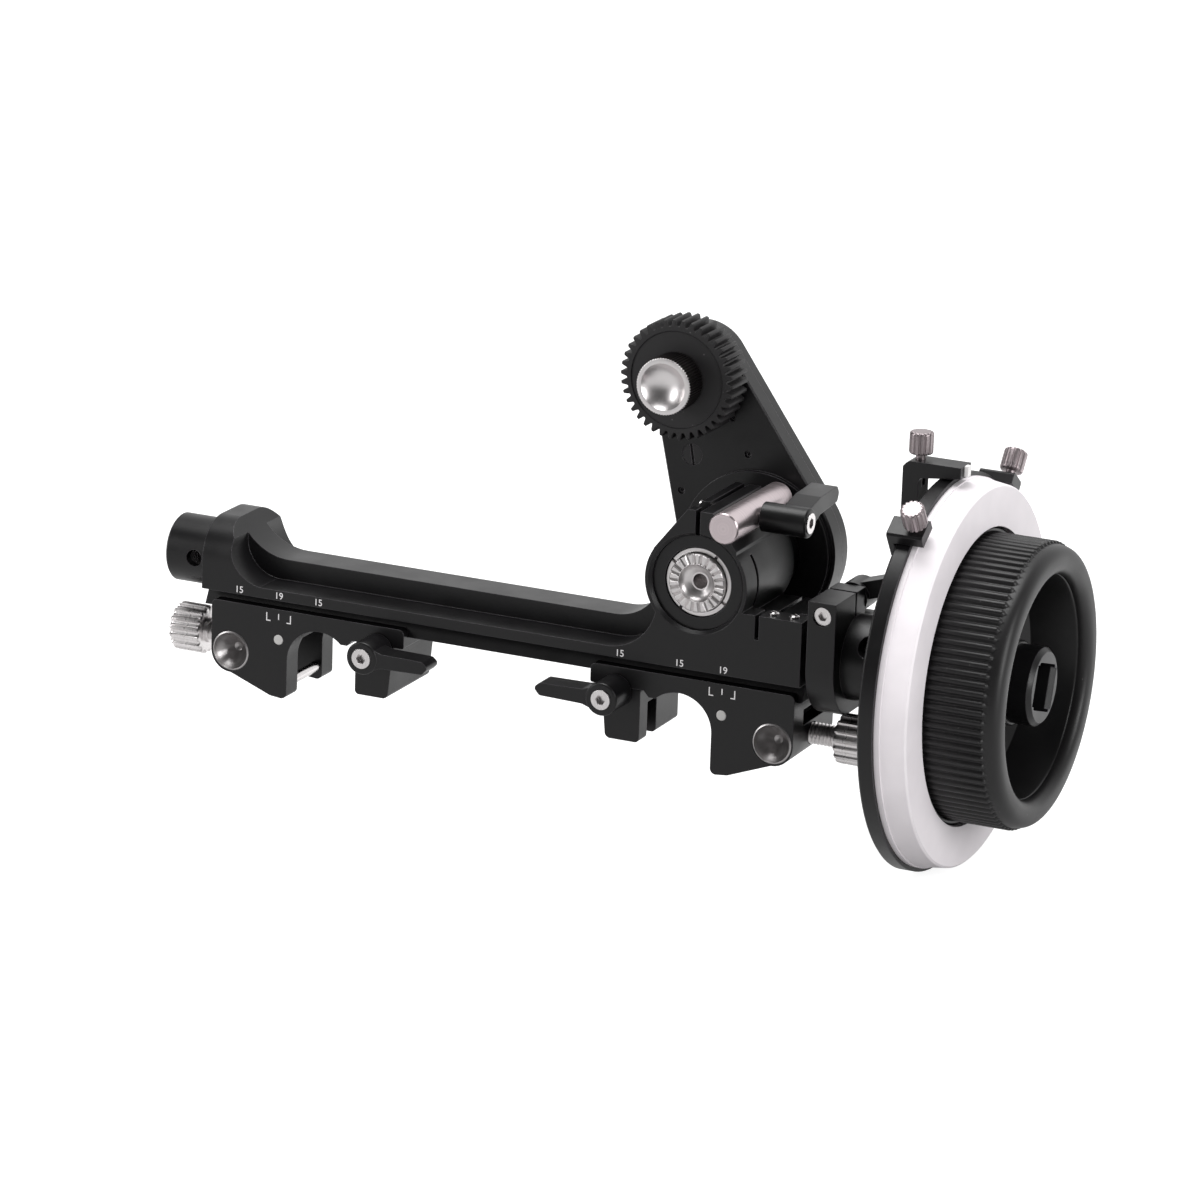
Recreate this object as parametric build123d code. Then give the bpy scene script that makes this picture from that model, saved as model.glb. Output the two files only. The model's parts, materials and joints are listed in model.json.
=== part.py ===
from build123d import *
import os
from math import atan2, cos, degrees, radians, sin, tan

# Follow focus unit for a pair of camera support rods.
# +X runs along the bridge to the handwheel, +Y away from the marked front face, +Z up.
# The origin lies half way between the two 19 mm rods, at their height, in the front face.

os.makedirs("parts", exist_ok=True)

# ---------------------------------------------------------------- driving dimensions (mm)
ROD_R = 9.5                 # 19 mm rods
ROD_X = 52.0                # half of the 104 mm rod spacing

BRIDGE_LEFT = -87.3
BRIDGE_RIGHT = 85.3
BRIDGE_DEPTH = 30.6
MID_Y = BRIDGE_DEPTH / 2    # middle plane of the bridge
FLANGE_Z = (16.2, 19.0)     # flat flange along the whole bridge
WEB_HALF = 5.25             # half thickness of the web
WEB_TOP = 24.6
COLLAR_TOP = 34.4
COLLAR_RIGHT = -79.0
BLOCK_TOP = 33.4            # top of the block at the handwheel end

DRIVE_Z = 22.0              # height of the drive axis, which runs along X at MID_Y
SHAFT_R = 2.0
SHAFT_HOLE_R = 2.3
PORT_R = 9.15               # left port tube, bare for a second wheel
PORT_RIGHT_R = 8.9          # right port tube, under the wheel's clamp block
PORT_SEAT_R = 8.6           # the part of both tubes that sits in the bridge
PORT_SEAT = 7.0
PORT_BORE_R = 6.5
PORT_LEFT = -102.0
PORT_RIGHT = 96.5
PORT_SCREW_X = (76.2, 81.8)
PORT_SCREW_Y = 3.4

SWING_X = 55.6              # swing axis, along Y
SWING_Z = 39.2
RING_R = 14.2
RING_BORE_R = 12.5
BARREL_R = 12.45
BARREL_BORE_R = 10.95
BARREL_FRONT = 1.6

BAR_X = 62.8                # clamp bar of the ring, along Y
BAR_Z = 54.9
BAR_R = 4.1
LEVER_Y = 16.0              # axis of the ring's clamp lever, along X
CLAMP_GAP_X = (54.95, 56.25)

# The drive gear and the crossing gear have equal tooth counts, so one turn of the wheel
# gives one turn of the input shaft. Their radii differ because their helix angles do.
CROSS_TEETH = 14
DRIVE_GEAR_R = 7.2
CROSS_GEAR_R = 10.0
CROSS_HELIX = 35.75
CROSS_HALF = 3.6
CHAMBER_R = 8.1             # room round the drive gear
CHAMBER_X = (50.6, 60.6)

ARM_FRONT = 39.0
ARM_SEAM = 44.4
ARM_BACK = 48.5
ARM_R_LOW = 22.0
ARM_R_TOP = 12.3
ARM_WALL = 1.9
WALL_FRONT = 2.2            # front wall of the gear case
CHAMBER_BACK = 46.6
COVER_SCREWS = ((47.2, 73.0), (52.1, 63.8), (33.6, 51.5))
SLOT_SCREW = (36.3, 61.6)
GEAR_X = 35.7               # axis of the lens gear, along Y
GEAR_Z = 83.8
MODULE = 0.8
INPUT_TEETH = 40
IDLER_TEETH = 30
OUTPUT_TEETH = 22
ARM_GEAR_Y = (41.5, 46.0)
IDLER_SHARE = 28.0 / 48.84  # how far the idler stands from the swing axis towards the lens gear
IDLER_X = SWING_X + (GEAR_X - SWING_X) * IDLER_SHARE
IDLER_Z = SWING_Z + (GEAR_Z - SWING_Z) * IDLER_SHARE

LENS_GEAR_TEETH = 38
LENS_GEAR_Y = (28.4, 38.4)
SPINDLE_R = 3.0
SPINDLE_BORE_R = 1.3
INPUT_R = 4.0

RAIL_Y = 13.2               # middle of the dovetail rail
RAIL_Z = 11.5
RAIL_HALF_LOW = 11.2
RAIL_HALF_TOP = 8.5
SHOE_TOP = 13.8             # carriage shoes, written for the left one
SHOE_DEPTH = 26.4
SHOE_OUT = -84.2
SHOE_IN = -27.0
SHOE_UNDER = 8.6
CONE_X = -78.4
CONE_Z = 0.2
CONE_R = 5.4
SCREW_Z = 0.5               # mode screw axis
SCREW_SHANK_R = 2.95
JAW_X = (-41.2, -30.2)
JAW_LEVER_X = -34.5
JAW_LEVER_Z = 7.5
PIN_X = -64.1
PIN_Z = 5.45
DOWEL_X = -63.4
DOWEL_Z = -7.2

WHEEL_BLOCK_X = (86.8, 94.4)
TUBE_R = 11.2
BEARING_R = 8.8             # outer bearing of the wheel
TUBE_END = 114.6
STOP_DISC_X = (115.7, 119.8)
STOP_DISC_R = 51.3
MARK_X = (119.8, 127.9)
MARK_BASE_R = 50.2
MARK_TOP_R = 49.05
MARK_HOLE_R = 38.4
SEAT_R = (37.05, 38.2)      # collar that centres the marking disc
SEAT_END = 126.8
GRIP_R = 37.0
GRIP_END = 147.0
GRIP_RIBS = 96
DISH_R = 28.8
FRONT_STOP_DEG = 34.0       # hard stops, measured from straight up
BACK_STOP_DEG = -37.0
STOP_BLOCK_R = (51.7, 54.8)
STOP_X = (113.9, 123.4)
STOP_SCREW_X = 121.0
POINTER_X = 110.0
POINTER_Y = 13.4
HUB_R = 10.15
HUB_BASE_R = 10.95          # raised ring of the dish that holds the hub
HUB_BASE_END = 138.4
HUB_SPIGOT_R = 9.6
SOCKET_END = 145.5
SOCKET_HALF = (5.9, 6.1)    # socket for a crank or whip
SOCKET_DEPTH = 9.0
SOCKET_TURN = -17.5
HOUSING_SCREW_X = 90.6
HOUSING_SCREW_Z = 35.8
EAR_BACK = 19.5


# ---------------------------------------------------------------- shapes
def box(x, y, z):
    """A block from its three (low, high) spans."""
    size = [high - low for low, high in (x, y, z)]
    middle = [(high + low) / 2 for low, high in (x, y, z)]
    return Pos(*middle) * Box(*size)


def rod_x(radius, x, y=MID_Y, z=DRIVE_Z):
    """A round bar along X over the span x."""
    return Pos((x[0] + x[1]) / 2, y, z) * Rot(0, 90, 0) * Cylinder(radius, x[1] - x[0])


def rod_y(radius, y, x=SWING_X, z=SWING_Z):
    """A round bar along Y over the span y."""
    return Pos(x, (y[0] + y[1]) / 2, z) * Rot(90, 0, 0) * Cylinder(radius, y[1] - y[0])


def rod_z(radius, z, x, y):
    """A round bar along Z over the span z."""
    return Pos(x, y, (z[0] + z[1]) / 2) * Cylinder(radius, z[1] - z[0])


def tube_y(outer, inner, y, x=SWING_X, z=SWING_Z):
    return rod_y(outer, y, x, z) - rod_y(inner, (y[0] - 1, y[1] + 1), x, z)


def tube_x(outer, inner, x, y=MID_Y, z=DRIVE_Z):
    return rod_x(outer, x, y, z) - rod_x(inner, (x[0] - 1, x[1] + 1), y, z)


def front_face(points, y, radius=0.0):
    """A plate whose (x, z) outline is drawn on the front face, over the span y."""
    radii = radius if isinstance(radius, list) else [radius] * len(points)
    line = FilletPolyline(*points, radius=radii, close=True)
    plane = Plane(origin=(0, y[0], 0), x_dir=(1, 0, 0), z_dir=(0, -1, 0))
    return extrude(plane * make_face(line), amount=-(y[1] - y[0]))


def side_face(points, x, radius=0.0):
    """A plate whose (y, z) outline is seen from the handwheel end, over the span x."""
    radii = radius if isinstance(radius, list) else [radius] * len(points)
    line = FilletPolyline(*points, radius=radii, close=True)
    plane = Plane(origin=(x[0], 0, 0), x_dir=(0, 1, 0), z_dir=(1, 0, 0))
    return extrude(plane * make_face(line), amount=x[1] - x[0])


def turned_x(profile, y=MID_Y, z=DRIVE_Z):
    """A turned piece about an axis along X, from its (x, radius) outline."""
    face = make_face(Polyline(*[(px, pr) for px, pr in profile], close=True))
    plane = Plane(origin=(0, y, z), x_dir=(1, 0, 0), z_dir=(0, -1, 0))
    return revolve(plane * face, axis=Axis((0, y, z), (1, 0, 0)))


def turned_y(profile, x=SWING_X, z=SWING_Z):
    """A turned piece about an axis along Y, from its (y, radius) outline."""
    face = make_face(Polyline(*[(py, pr) for py, pr in profile], close=True))
    plane = Plane(origin=(x, 0, z), x_dir=(0, 1, 0), z_dir=(1, 0, 0))
    return revolve(plane * face, axis=Axis((x, 0, z), (0, 1, 0)))


def gear_sketch(teeth, module, phase_deg, tip=0.75, root=1.2):
    """Straight-flanked teeth: each is 0.44 of the pitch wide at the pitch circle."""
    pitch_r = teeth * module / 2
    tip_r = pitch_r + tip * module
    root_r = pitch_r - root * module
    step = 360 / teeth
    points = []
    for tooth in range(teeth):
        middle = phase_deg + tooth * step
        for radius, offset in ((root_r, -0.34), (tip_r, -0.12), (tip_r, 0.12), (root_r, 0.34)):
            angle = radians(middle + offset * step)
            points.append((radius * cos(angle), radius * sin(angle)))
    return make_face(Polyline(*points, close=True))


def arm_gear(teeth, phase_deg, x, z, bore):
    """A gear of the arm's train; phase_deg counts from +X towards +Z."""
    plane = Plane(origin=(x, ARM_GEAR_Y[0], z), x_dir=(1, 0, 0), z_dir=(0, -1, 0))
    body = extrude(plane * gear_sketch(teeth, MODULE, phase_deg), amount=-(ARM_GEAR_Y[1] - ARM_GEAR_Y[0]))
    return body - rod_y(bore, (ARM_GEAR_Y[0] - 1, ARM_GEAR_Y[1] + 1), x, z)


def fluted_head(radius, length, flutes, flute_r):
    """A thumbscrew head along Z from 0 to length, with round flutes."""
    head = Pos(0, 0, length / 2) * Cylinder(radius, length)
    head = chamfer(head.edges().filter_by(GeomType.CIRCLE), 0.08 * radius)
    for index in range(flutes):
        turn = Rot(0, 0, 360 * index / flutes)
        head -= turn * Pos(radius + 0.35 * flute_r, 0, length / 2) * Cylinder(flute_r, length + 2)
    return head


def hex_socket(across, depth):
    """A hexagonal hole along Z, open at 0 and reaching down."""
    proud = 1.0
    hexagon = RegularPolygon(across / 2, 6, major_radius=False)
    return Pos(0, 0, -depth) * extrude(hexagon, depth + proud)


def broken_edges(shape, axis, place, width):
    """The shape with an edge break on every edge that lies in the plane axis = place."""
    edges = shape.edges().filter_by_position(axis, place - 0.01, place + 0.01)
    return chamfer(edges, width)


def save(name, shape):
    shape.label = name
    export_step(shape, f"parts/{name}.step")


# ---------------------------------------------------------------- bridge
def clamp_ring():
    """Split ring round the swing axis, with the two ears of its clamp."""
    ring = rod_y(RING_R, (0, BRIDGE_DEPTH))
    left_ear = [(52.7, 58.6), (55.6, 58.6), (55.6, 46.0), (43.2, 44.0), (43.6, 47.0)]
    right_ear = [(55.6, 58.4), (59.6, 58.4), (66.5, 49.2), (66.5, 44.0), (55.6, 44.0)]
    ring += front_face(left_ear, (0, BRIDGE_DEPTH))
    ring += front_face(right_ear, (0, BRIDGE_DEPTH))
    # groove round the ring behind its front rim
    ring -= tube_y(RING_R + 12, RING_R - 0.7, (6.6, 7.8)) & box((60.5, 80), (0, 10), (20, 47))
    return ring


def bridge_body():
    end = (BRIDGE_LEFT, BRIDGE_RIGHT)
    flange = box(end, (0, BRIDGE_DEPTH), FLANGE_Z)
    web = box((COLLAR_RIGHT - 4, 50), (MID_Y - WEB_HALF, MID_Y + WEB_HALF), (FLANGE_Z[0], COLLAR_TOP))
    # the web top dips between the collar and the ring along two round scoops
    scoop_left, scoop_right = 16.3, 12.8
    dip_left, dip_right = -66.4, 29.0
    dip = box((dip_left, dip_right), (0, BRIDGE_DEPTH), (WEB_TOP, 60))
    dip += rod_y(scoop_left, (0, BRIDGE_DEPTH), dip_left, WEB_TOP + scoop_left)
    dip += rod_y(scoop_right, (0, BRIDGE_DEPTH), dip_right, WEB_TOP + scoop_right)
    collar_r = 10.7
    low, high = FLANGE_Z[0], COLLAR_TOP
    collar = side_face([(0, low), (BRIDGE_DEPTH, low), (BRIDGE_DEPTH, high), (0, high)],
                       (BRIDGE_LEFT, COLLAR_RIGHT + 9), [0.01, 0.01, collar_r, collar_r])
    # the pocket in front of the web, and its twin behind
    pocket_r = 10.0
    for side in ((-1, MID_Y - WEB_HALF), (MID_Y + WEB_HALF, BRIDGE_DEPTH + 1)):
        pocket = front_face([(COLLAR_RIGHT, FLANGE_Z[1]), (0, FLANGE_Z[1]), (0, 60), (COLLAR_RIGHT, 60)],
                            side, [pocket_r, 0.01, 0.01, 0.01])
        collar -= pocket
    block = box((30, BRIDGE_RIGHT), (0, BRIDGE_DEPTH), (FLANGE_Z[0], BLOCK_TOP))
    corner_r = 14.0
    notch = box((0, 31.0), (-1, BRIDGE_DEPTH + 1), (FLANGE_Z[1], 60))
    notch += rod_y(corner_r, (-1, BRIDGE_DEPTH + 1), 31.0, FLANGE_Z[1] + corner_r)
    block -= notch
    body = flange + (web + collar - dip) + block + clamp_ring()
    # step behind the two set screws, and the saw cut beside them
    body -= box((66.5, BRIDGE_RIGHT + 1), (6.4, BRIDGE_DEPTH + 1), (30.6, 60)) - rod_y(RING_R, (-1, 40))
    body -= box((72.4, 73.5), (-1, BRIDGE_DEPTH + 1), (27.0, 60))
    # dovetail rail
    rail = [(RAIL_Y - RAIL_HALF_TOP, FLANGE_Z[0] + 0.5), (RAIL_Y + RAIL_HALF_TOP, FLANGE_Z[0] + 0.5),
            (RAIL_Y + RAIL_HALF_LOW, RAIL_Z), (RAIL_Y - RAIL_HALF_LOW, RAIL_Z)]
    body += side_face(rail, end)
    # ring bore with a front chamfer, clamp gap and the seat of the clamp bar
    body -= rod_y(RING_BORE_R, (-1, BRIDGE_DEPTH + 1))
    body -= turned_y([(-0.01, 0), (-0.01, RING_BORE_R + 0.9), (0.9, RING_BORE_R), (0.9, 0)])
    body -= box(CLAMP_GAP_X, (-1, BRIDGE_DEPTH + 1), (SWING_Z, 70))
    body -= rod_y(4.2, (-1, BRIDGE_DEPTH + 1), BAR_X, BAR_Z)
    body -= rod_x(2.0, (48, 70), LEVER_Y, BAR_Z)
    # the left ear is parted into a narrow front tab and a wide rear block
    body -= box((40, CLAMP_GAP_X[0]), (3.6, 9.0), (54.6, 70))
    # drive shaft hole, gear chamber and the seats of the port tubes and bearings
    body -= rod_x(SHAFT_HOLE_R, (BRIDGE_LEFT - 1, BRIDGE_RIGHT + 1))
    body -= rod_x(CHAMBER_R, CHAMBER_X)
    body -= rod_x(PORT_SEAT_R + 0.02, (BRIDGE_LEFT - 1, BRIDGE_LEFT + PORT_SEAT))
    body -= rod_x(PORT_SEAT_R + 0.02, (BRIDGE_RIGHT - PORT_SEAT, BRIDGE_RIGHT + 1))
    for x in PORT_SCREW_X:
        body -= rod_z(1.32, (28, 40), x, PORT_SCREW_Y)
    return body


def port_tube(radius, bridge_end, outer_end, hole_x):
    """Tube that stands out of one end of the bridge, with a cross hole for a locking pin."""
    side = 1 if outer_end > bridge_end else -1
    seat_end = bridge_end - side * PORT_SEAT
    tube = tube_x(radius, PORT_BORE_R, sorted((bridge_end, outer_end)))
    tube += tube_x(PORT_SEAT_R, PORT_BORE_R, sorted((seat_end, bridge_end)))
    tube = broken_edges(tube, Axis.X, outer_end, 0.5)
    return tube - rod_y(2.3, (-5, MID_Y), hole_x, DRIVE_Z)


def port_set_screws():
    screws = []
    for x in PORT_SCREW_X:
        screw = rod_z(1.3, (30.0, 34.2), x, PORT_SCREW_Y)
        screw = chamfer(screw.edges().filter_by(GeomType.CIRCLE).sort_by(Axis.Z)[-1], 0.35)
        screws.append(screw - Pos(x, PORT_SCREW_Y, 34.2) * hex_socket(1.1, 1.2))
    return Compound(children=screws)


def shaft_bearings():
    left = tube_x(PORT_BORE_R - 0.05, SHAFT_R + 0.03, (BRIDGE_LEFT + 1, BRIDGE_LEFT + 5))
    right = tube_x(PORT_BORE_R - 0.05, SHAFT_R + 0.03, (BRIDGE_RIGHT - 5, BRIDGE_RIGHT - 1))
    return Compound(children=[left, right])


def drive_shaft():
    shaft = rod_x(SHAFT_R, (PORT_LEFT + 3, 98.0))
    cup = rod_x(4.2, (PORT_LEFT + 1.5, PORT_LEFT + 9))
    socket = Pos(PORT_LEFT + 1.5, MID_Y, DRIVE_Z) * Rot(0, -90, 0) * hex_socket(4.0, 5.0)
    return shaft + cup - socket


def helical_gear(radius, helix_deg, half_length, phase_deg, bore):
    """Right-hand helical gear along Z, centred on 0."""
    turn = degrees(2 * half_length * tan(radians(helix_deg)) / radius)
    addendum, dedendum = 0.55, 0.85
    step = 360 / CROSS_TEETH
    points = []
    for tooth in range(CROSS_TEETH):
        middle = phase_deg - turn / 2 + tooth * step
        for r, offset in ((radius - dedendum, -0.30), (radius + addendum, -0.13),
                          (radius + addendum, 0.13), (radius - dedendum, 0.30)):
            angle = radians(middle + offset * step)
            points.append((r * cos(angle), r * sin(angle)))
    face = make_face(Polyline(*points, close=True)).face()
    twisted = Solid.extrude_linear_with_rotation(face, (0, 0, 0), (0, 0, 2 * half_length), turn)
    return Pos(0, 0, -half_length) * twisted - Cylinder(bore, 4 * half_length)


def drive_gear():
    # a tooth stands straight up, at the mesh
    gear = helical_gear(DRIVE_GEAR_R, CROSS_HELIX, CROSS_HALF, 180, SHAFT_R + 0.02)
    return Pos(SWING_X, MID_Y, DRIVE_Z) * Rot(0, 90, 0) * gear


def cross_gear():
    # a gap faces straight down, at the mesh
    gap = 180 / CROSS_TEETH
    gear = helical_gear(CROSS_GEAR_R, 90 - CROSS_HELIX, CROSS_HALF, -90 + gap, INPUT_R + 0.02)
    return Pos(SWING_X, MID_Y, SWING_Z) * Rot(-90, 0, 0) * Rot(0, 0, 180) * gear


def clamp_bar():
    bar = rod_y(BAR_R, (-0.4, 35.0), BAR_X, BAR_Z)
    bar = chamfer(bar.edges().filter_by(GeomType.CIRCLE), 0.35)
    return bar - rod_x(2.0, (50, 70), LEVER_Y, BAR_Z)


def swing_lever():
    hub = rod_x(3.9, (67.2, 79.8), LEVER_Y, BAR_Z)
    hub = fillet(hub.edges().filter_by(GeomType.CIRCLE).sort_by(Axis.X)[-1], 0.6)
    wing = [(LEVER_Y + 1, BAR_Z - 2.6), (LEVER_Y + 8, BAR_Z + 0.4), (35.2, BAR_Z + 1.2), (36.2, BAR_Z + 3.4),
            (34.8, BAR_Z + 5.4), (LEVER_Y + 8, BAR_Z + 5.0), (LEVER_Y + 1, BAR_Z + 3.4)]
    lever = hub + side_face(wing, (72.2, 79.2), [0.01, 2.0, 1.0, 1.0, 1.0, 2.0, 0.01])
    lever -= rod_x(2.02, (60, 85), LEVER_Y, BAR_Z)
    return lever - rod_x(2.75, (77.9, 85), LEVER_Y, BAR_Z)


def swing_lever_screw():
    screw = rod_x(1.95, (49.5, 78.4), LEVER_Y, BAR_Z) + rod_x(2.7, (78.0, 80.1), LEVER_Y, BAR_Z)
    return screw - Pos(80.1, LEVER_Y, BAR_Z) * Rot(0, 90, 0) * hex_socket(2.5, 1.8)


# ---------------------------------------------------------------- swing arm
def arm_outline(low_r, top_r, y):
    """Two round ends joined by their outer tangents."""
    low = Pos(SWING_X, SWING_Z) * Circle(low_r)
    top = Pos(GEAR_X, GEAR_Z) * Circle(top_r)
    plane = Plane(origin=(0, y[0], 0), x_dir=(1, 0, 0), z_dir=(0, -1, 0))
    return extrude(plane * make_hull(low.edges() + top.edges()), amount=-(y[1] - y[0]))


def arm_barrel():
    barrel = rod_y(BARREL_R, (BARREL_FRONT, ARM_FRONT)) - rod_y(BARREL_BORE_R, (8.0, ARM_FRONT + 1))
    barrel -= rod_y(9.25, (0, 9.0))
    # window in the underside, long enough for the whole swing
    window = tube_y(BARREL_R + 3, BARREL_BORE_R - 3, (MID_Y - 9.0, MID_Y + 9.0))
    window &= front_face([(SWING_X, SWING_Z - 1), (SWING_X + 20, SWING_Z + 6), (SWING_X + 20, 15),
                          (SWING_X - 20, 15), (SWING_X - 20, SWING_Z + 6)], (0, 30))
    return barrel - window


def arm_plate():
    plate = arm_outline(ARM_R_LOW, ARM_R_TOP, (ARM_FRONT, ARM_SEAM))
    plate = chamfer(plate.edges().group_by(Axis.Y)[0], 0.4)
    plate -= arm_outline(ARM_R_LOW - ARM_WALL, ARM_R_TOP - ARM_WALL, (ARM_FRONT + WALL_FRONT, ARM_SEAM + 1))
    plate += rod_y(20.7, (ARM_FRONT - 1.4, ARM_FRONT + 0.5)) - rod_y(BARREL_R, (30, ARM_FRONT))
    for x, z in COVER_SCREWS:
        plate -= rod_y(1.0, (30, ARM_SEAM + 1), x, z)
    plate -= rod_y(2.0, (30, ARM_SEAM + 1), *SLOT_SCREW) + rod_y(2.85, (30, ARM_FRONT + 1.4), *SLOT_SCREW)
    plate -= rod_y(INPUT_R + 0.5, (30, 50))
    plate -= rod_y(6.02, (30, 50), GEAR_X, GEAR_Z)
    return plate - rod_y(2.0, (ARM_FRONT + 1.0, 50), IDLER_X, IDLER_Z)


def arm_cover():
    cover = arm_outline(ARM_R_LOW, ARM_R_TOP, (ARM_SEAM, ARM_BACK))
    cover = chamfer(cover.edges().group_by(Axis.Y)[-1], 0.8)
    cover -= arm_outline(ARM_R_LOW - ARM_WALL, ARM_R_TOP - ARM_WALL, (ARM_SEAM - 1, CHAMBER_BACK))
    cover -= rod_y(7.02, (40, ARM_BACK - 0.6)) + rod_y(6.02, (40, ARM_BACK - 0.6), GEAR_X, GEAR_Z)
    return cover - rod_y(2.0, (40, ARM_BACK - 0.8), IDLER_X, IDLER_Z)


def arm_cover_screws():
    screws = []
    for x, z in COVER_SCREWS:
        screw = rod_y(0.95, (ARM_FRONT + 0.7, ARM_FRONT + WALL_FRONT), x, z)
        screws.append(screw - Pos(x, ARM_FRONT + 0.7, z) * Rot(90, 0, 0) * hex_socket(0.9, 0.8))
    return Compound(children=screws)


def arm_slot_screw():
    x, z = SLOT_SCREW
    screw = rod_y(2.8, (ARM_FRONT + 0.15, ARM_FRONT + 1.35), x, z)
    screw += rod_y(1.95, (ARM_FRONT + 1, ARM_FRONT + WALL_FRONT), x, z)
    slot = Pos(x, ARM_FRONT, z) * Rot(0, -10, 0) * Box(0.7, 1.8, 8)
    return screw - slot


def bearing_lock_ring():
    ring = turned_y([(2.1, 7.95), (2.1, 8.95), (2.35, 9.2), (4.5, 9.2), (4.5, 7.95)])
    for index in range(4):
        turn = Pos(SWING_X, 2.1, SWING_Z) * Rot(0, 33 + 90 * index, 0)
        ring -= turn * Pos(8.7, 0, 0) * Box(2.2, 2.0, 0.8)
    return ring


def arm_bearings():
    parts = [tube_y(9.2, INPUT_R + 0.03, (4.6, 7.9)),
             tube_y(BARREL_BORE_R - 0.05, INPUT_R + 0.03, (34.0, 38.0)),
             tube_y(7.0, INPUT_R + 0.03, (CHAMBER_BACK, ARM_BACK - 0.65)),
             tube_y(6.0, SPINDLE_R + 0.03, (ARM_FRONT, ARM_FRONT + WALL_FRONT), GEAR_X, GEAR_Z),
             tube_y(6.0, SPINDLE_R + 0.03, (CHAMBER_BACK, ARM_BACK - 0.65), GEAR_X, GEAR_Z)]
    return Compound(children=parts)


def input_shaft():
    """Shaft of the crossing gear; its front end is a toothed face for a crank or motor."""
    shaft = rod_y(INPUT_R, (3.0, ARM_BACK - 0.9))
    boss = turned_y([(0.5, 5.0), (0.5, 7.45), (0.75, 7.7), (4.4, 7.7), (4.4, 0), (3.4, 0), (3.0, 2.4),
                     (1.6, 4.4)])
    for index in range(22):
        turn = Pos(SWING_X, 0.5, SWING_Z) * Rot(0, 360 * index / 22, 0)
        boss -= turn * Pos(6.6, 0, 0) * Rot(45, 0, 0) * Box(3.0, 0.75, 0.75)
    return shaft + boss - rod_y(2.0, (0, 12.0))


def idler_pin():
    return rod_y(1.96, (ARM_FRONT + 1.05, ARM_BACK - 0.85), IDLER_X, IDLER_Z)


def arm_direction():
    """Angle of the line from the swing axis to the lens gear, from +X towards +Z."""
    return degrees(atan2(GEAR_Z - SWING_Z, GEAR_X - SWING_X))


def input_gear(line_deg):
    return arm_gear(INPUT_TEETH, line_deg, SWING_X, SWING_Z, INPUT_R + 0.02)


def idler_gear(line_deg):
    # a gap faces the input gear
    return arm_gear(IDLER_TEETH, line_deg + 180 + 180 / IDLER_TEETH, IDLER_X, IDLER_Z, 2.02)


def output_gear(line_deg):
    # the idler shows a gap or a tooth on its far side, and this gear the opposite
    far_side = 180 + 180 / IDLER_TEETH
    steps = far_side / (360 / IDLER_TEETH)
    gap_there = abs(steps - round(steps)) > 0.25
    phase = 0 if gap_there else 180 / OUTPUT_TEETH
    return arm_gear(OUTPUT_TEETH, line_deg + 180 + phase, GEAR_X, GEAR_Z, SPINDLE_R + 0.02)


def output_spindle():
    """Hollow spindle of the lens gear, with the collar that the gear stands against."""
    spindle = rod_y(SPINDLE_R, (24.0, ARM_BACK - 0.9), GEAR_X, GEAR_Z)
    spindle += rod_y(5.0, (LENS_GEAR_Y[1] + 0.05, ARM_FRONT - 0.1), GEAR_X, GEAR_Z)
    return spindle - rod_y(SPINDLE_BORE_R, (20, 60), GEAR_X, GEAR_Z)


def spindle_core():
    """Pin through the hollow spindle."""
    return rod_y(SPINDLE_BORE_R - 0.05, (24.5, ARM_BACK - 0.95), GEAR_X, GEAR_Z)


def focus_gear():
    """Lens gear with rounded pointed teeth and a shallow recess in its front face."""
    step = 360 / LENS_GEAR_TEETH
    pitch_r = LENS_GEAR_TEETH * MODULE / 2
    points = []
    for tooth in range(LENS_GEAR_TEETH):
        for radius, offset in ((pitch_r - 1.15, -0.36), (pitch_r + 0.45, -0.17), (pitch_r + 0.8, -0.07),
                               (pitch_r + 0.8, 0.07), (pitch_r + 0.45, 0.17), (pitch_r - 1.15, 0.36)):
            angle = radians((tooth + offset) * step)
            points.append((radius * cos(angle), radius * sin(angle)))
    plane = Plane(origin=(GEAR_X, LENS_GEAR_Y[0], GEAR_Z), x_dir=(1, 0, 0), z_dir=(0, -1, 0))
    width = LENS_GEAR_Y[1] - LENS_GEAR_Y[0]
    gear = extrude(plane * make_face(Polyline(*points, close=True)), amount=-width)
    gear -= tube_y(12.9, 8.6, (LENS_GEAR_Y[0] - 1, LENS_GEAR_Y[0] + 0.4), GEAR_X, GEAR_Z)
    return gear - rod_y(SPINDLE_R + 0.02, (20, 45), GEAR_X, GEAR_Z)


def gear_knob():
    """Knurled nut with a dished silver end."""
    knob = turned_y([(20.4, 0), (20.4, 2.0), (20.0, 6.2), (20.0, 7.0), (20.5, 7.6),
                     (27.9, 7.6), (28.35, 7.2), (28.35, 0)], GEAR_X, GEAR_Z)
    dish = Pos(GEAR_X, 20.0 - 5.2, GEAR_Z) * Sphere(8.1)
    for index in range(48):
        turn = Pos(GEAR_X, 24.3, GEAR_Z) * Rot(0, 360 * index / 48, 0)
        knob -= turn * Pos(7.65, 0, 0) * Rot(0, 45, 0) * Box(0.42, 6.6, 0.42)
    return knob - dish - rod_y(SPINDLE_R + 0.05, (23.9, 30), GEAR_X, GEAR_Z)


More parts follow.
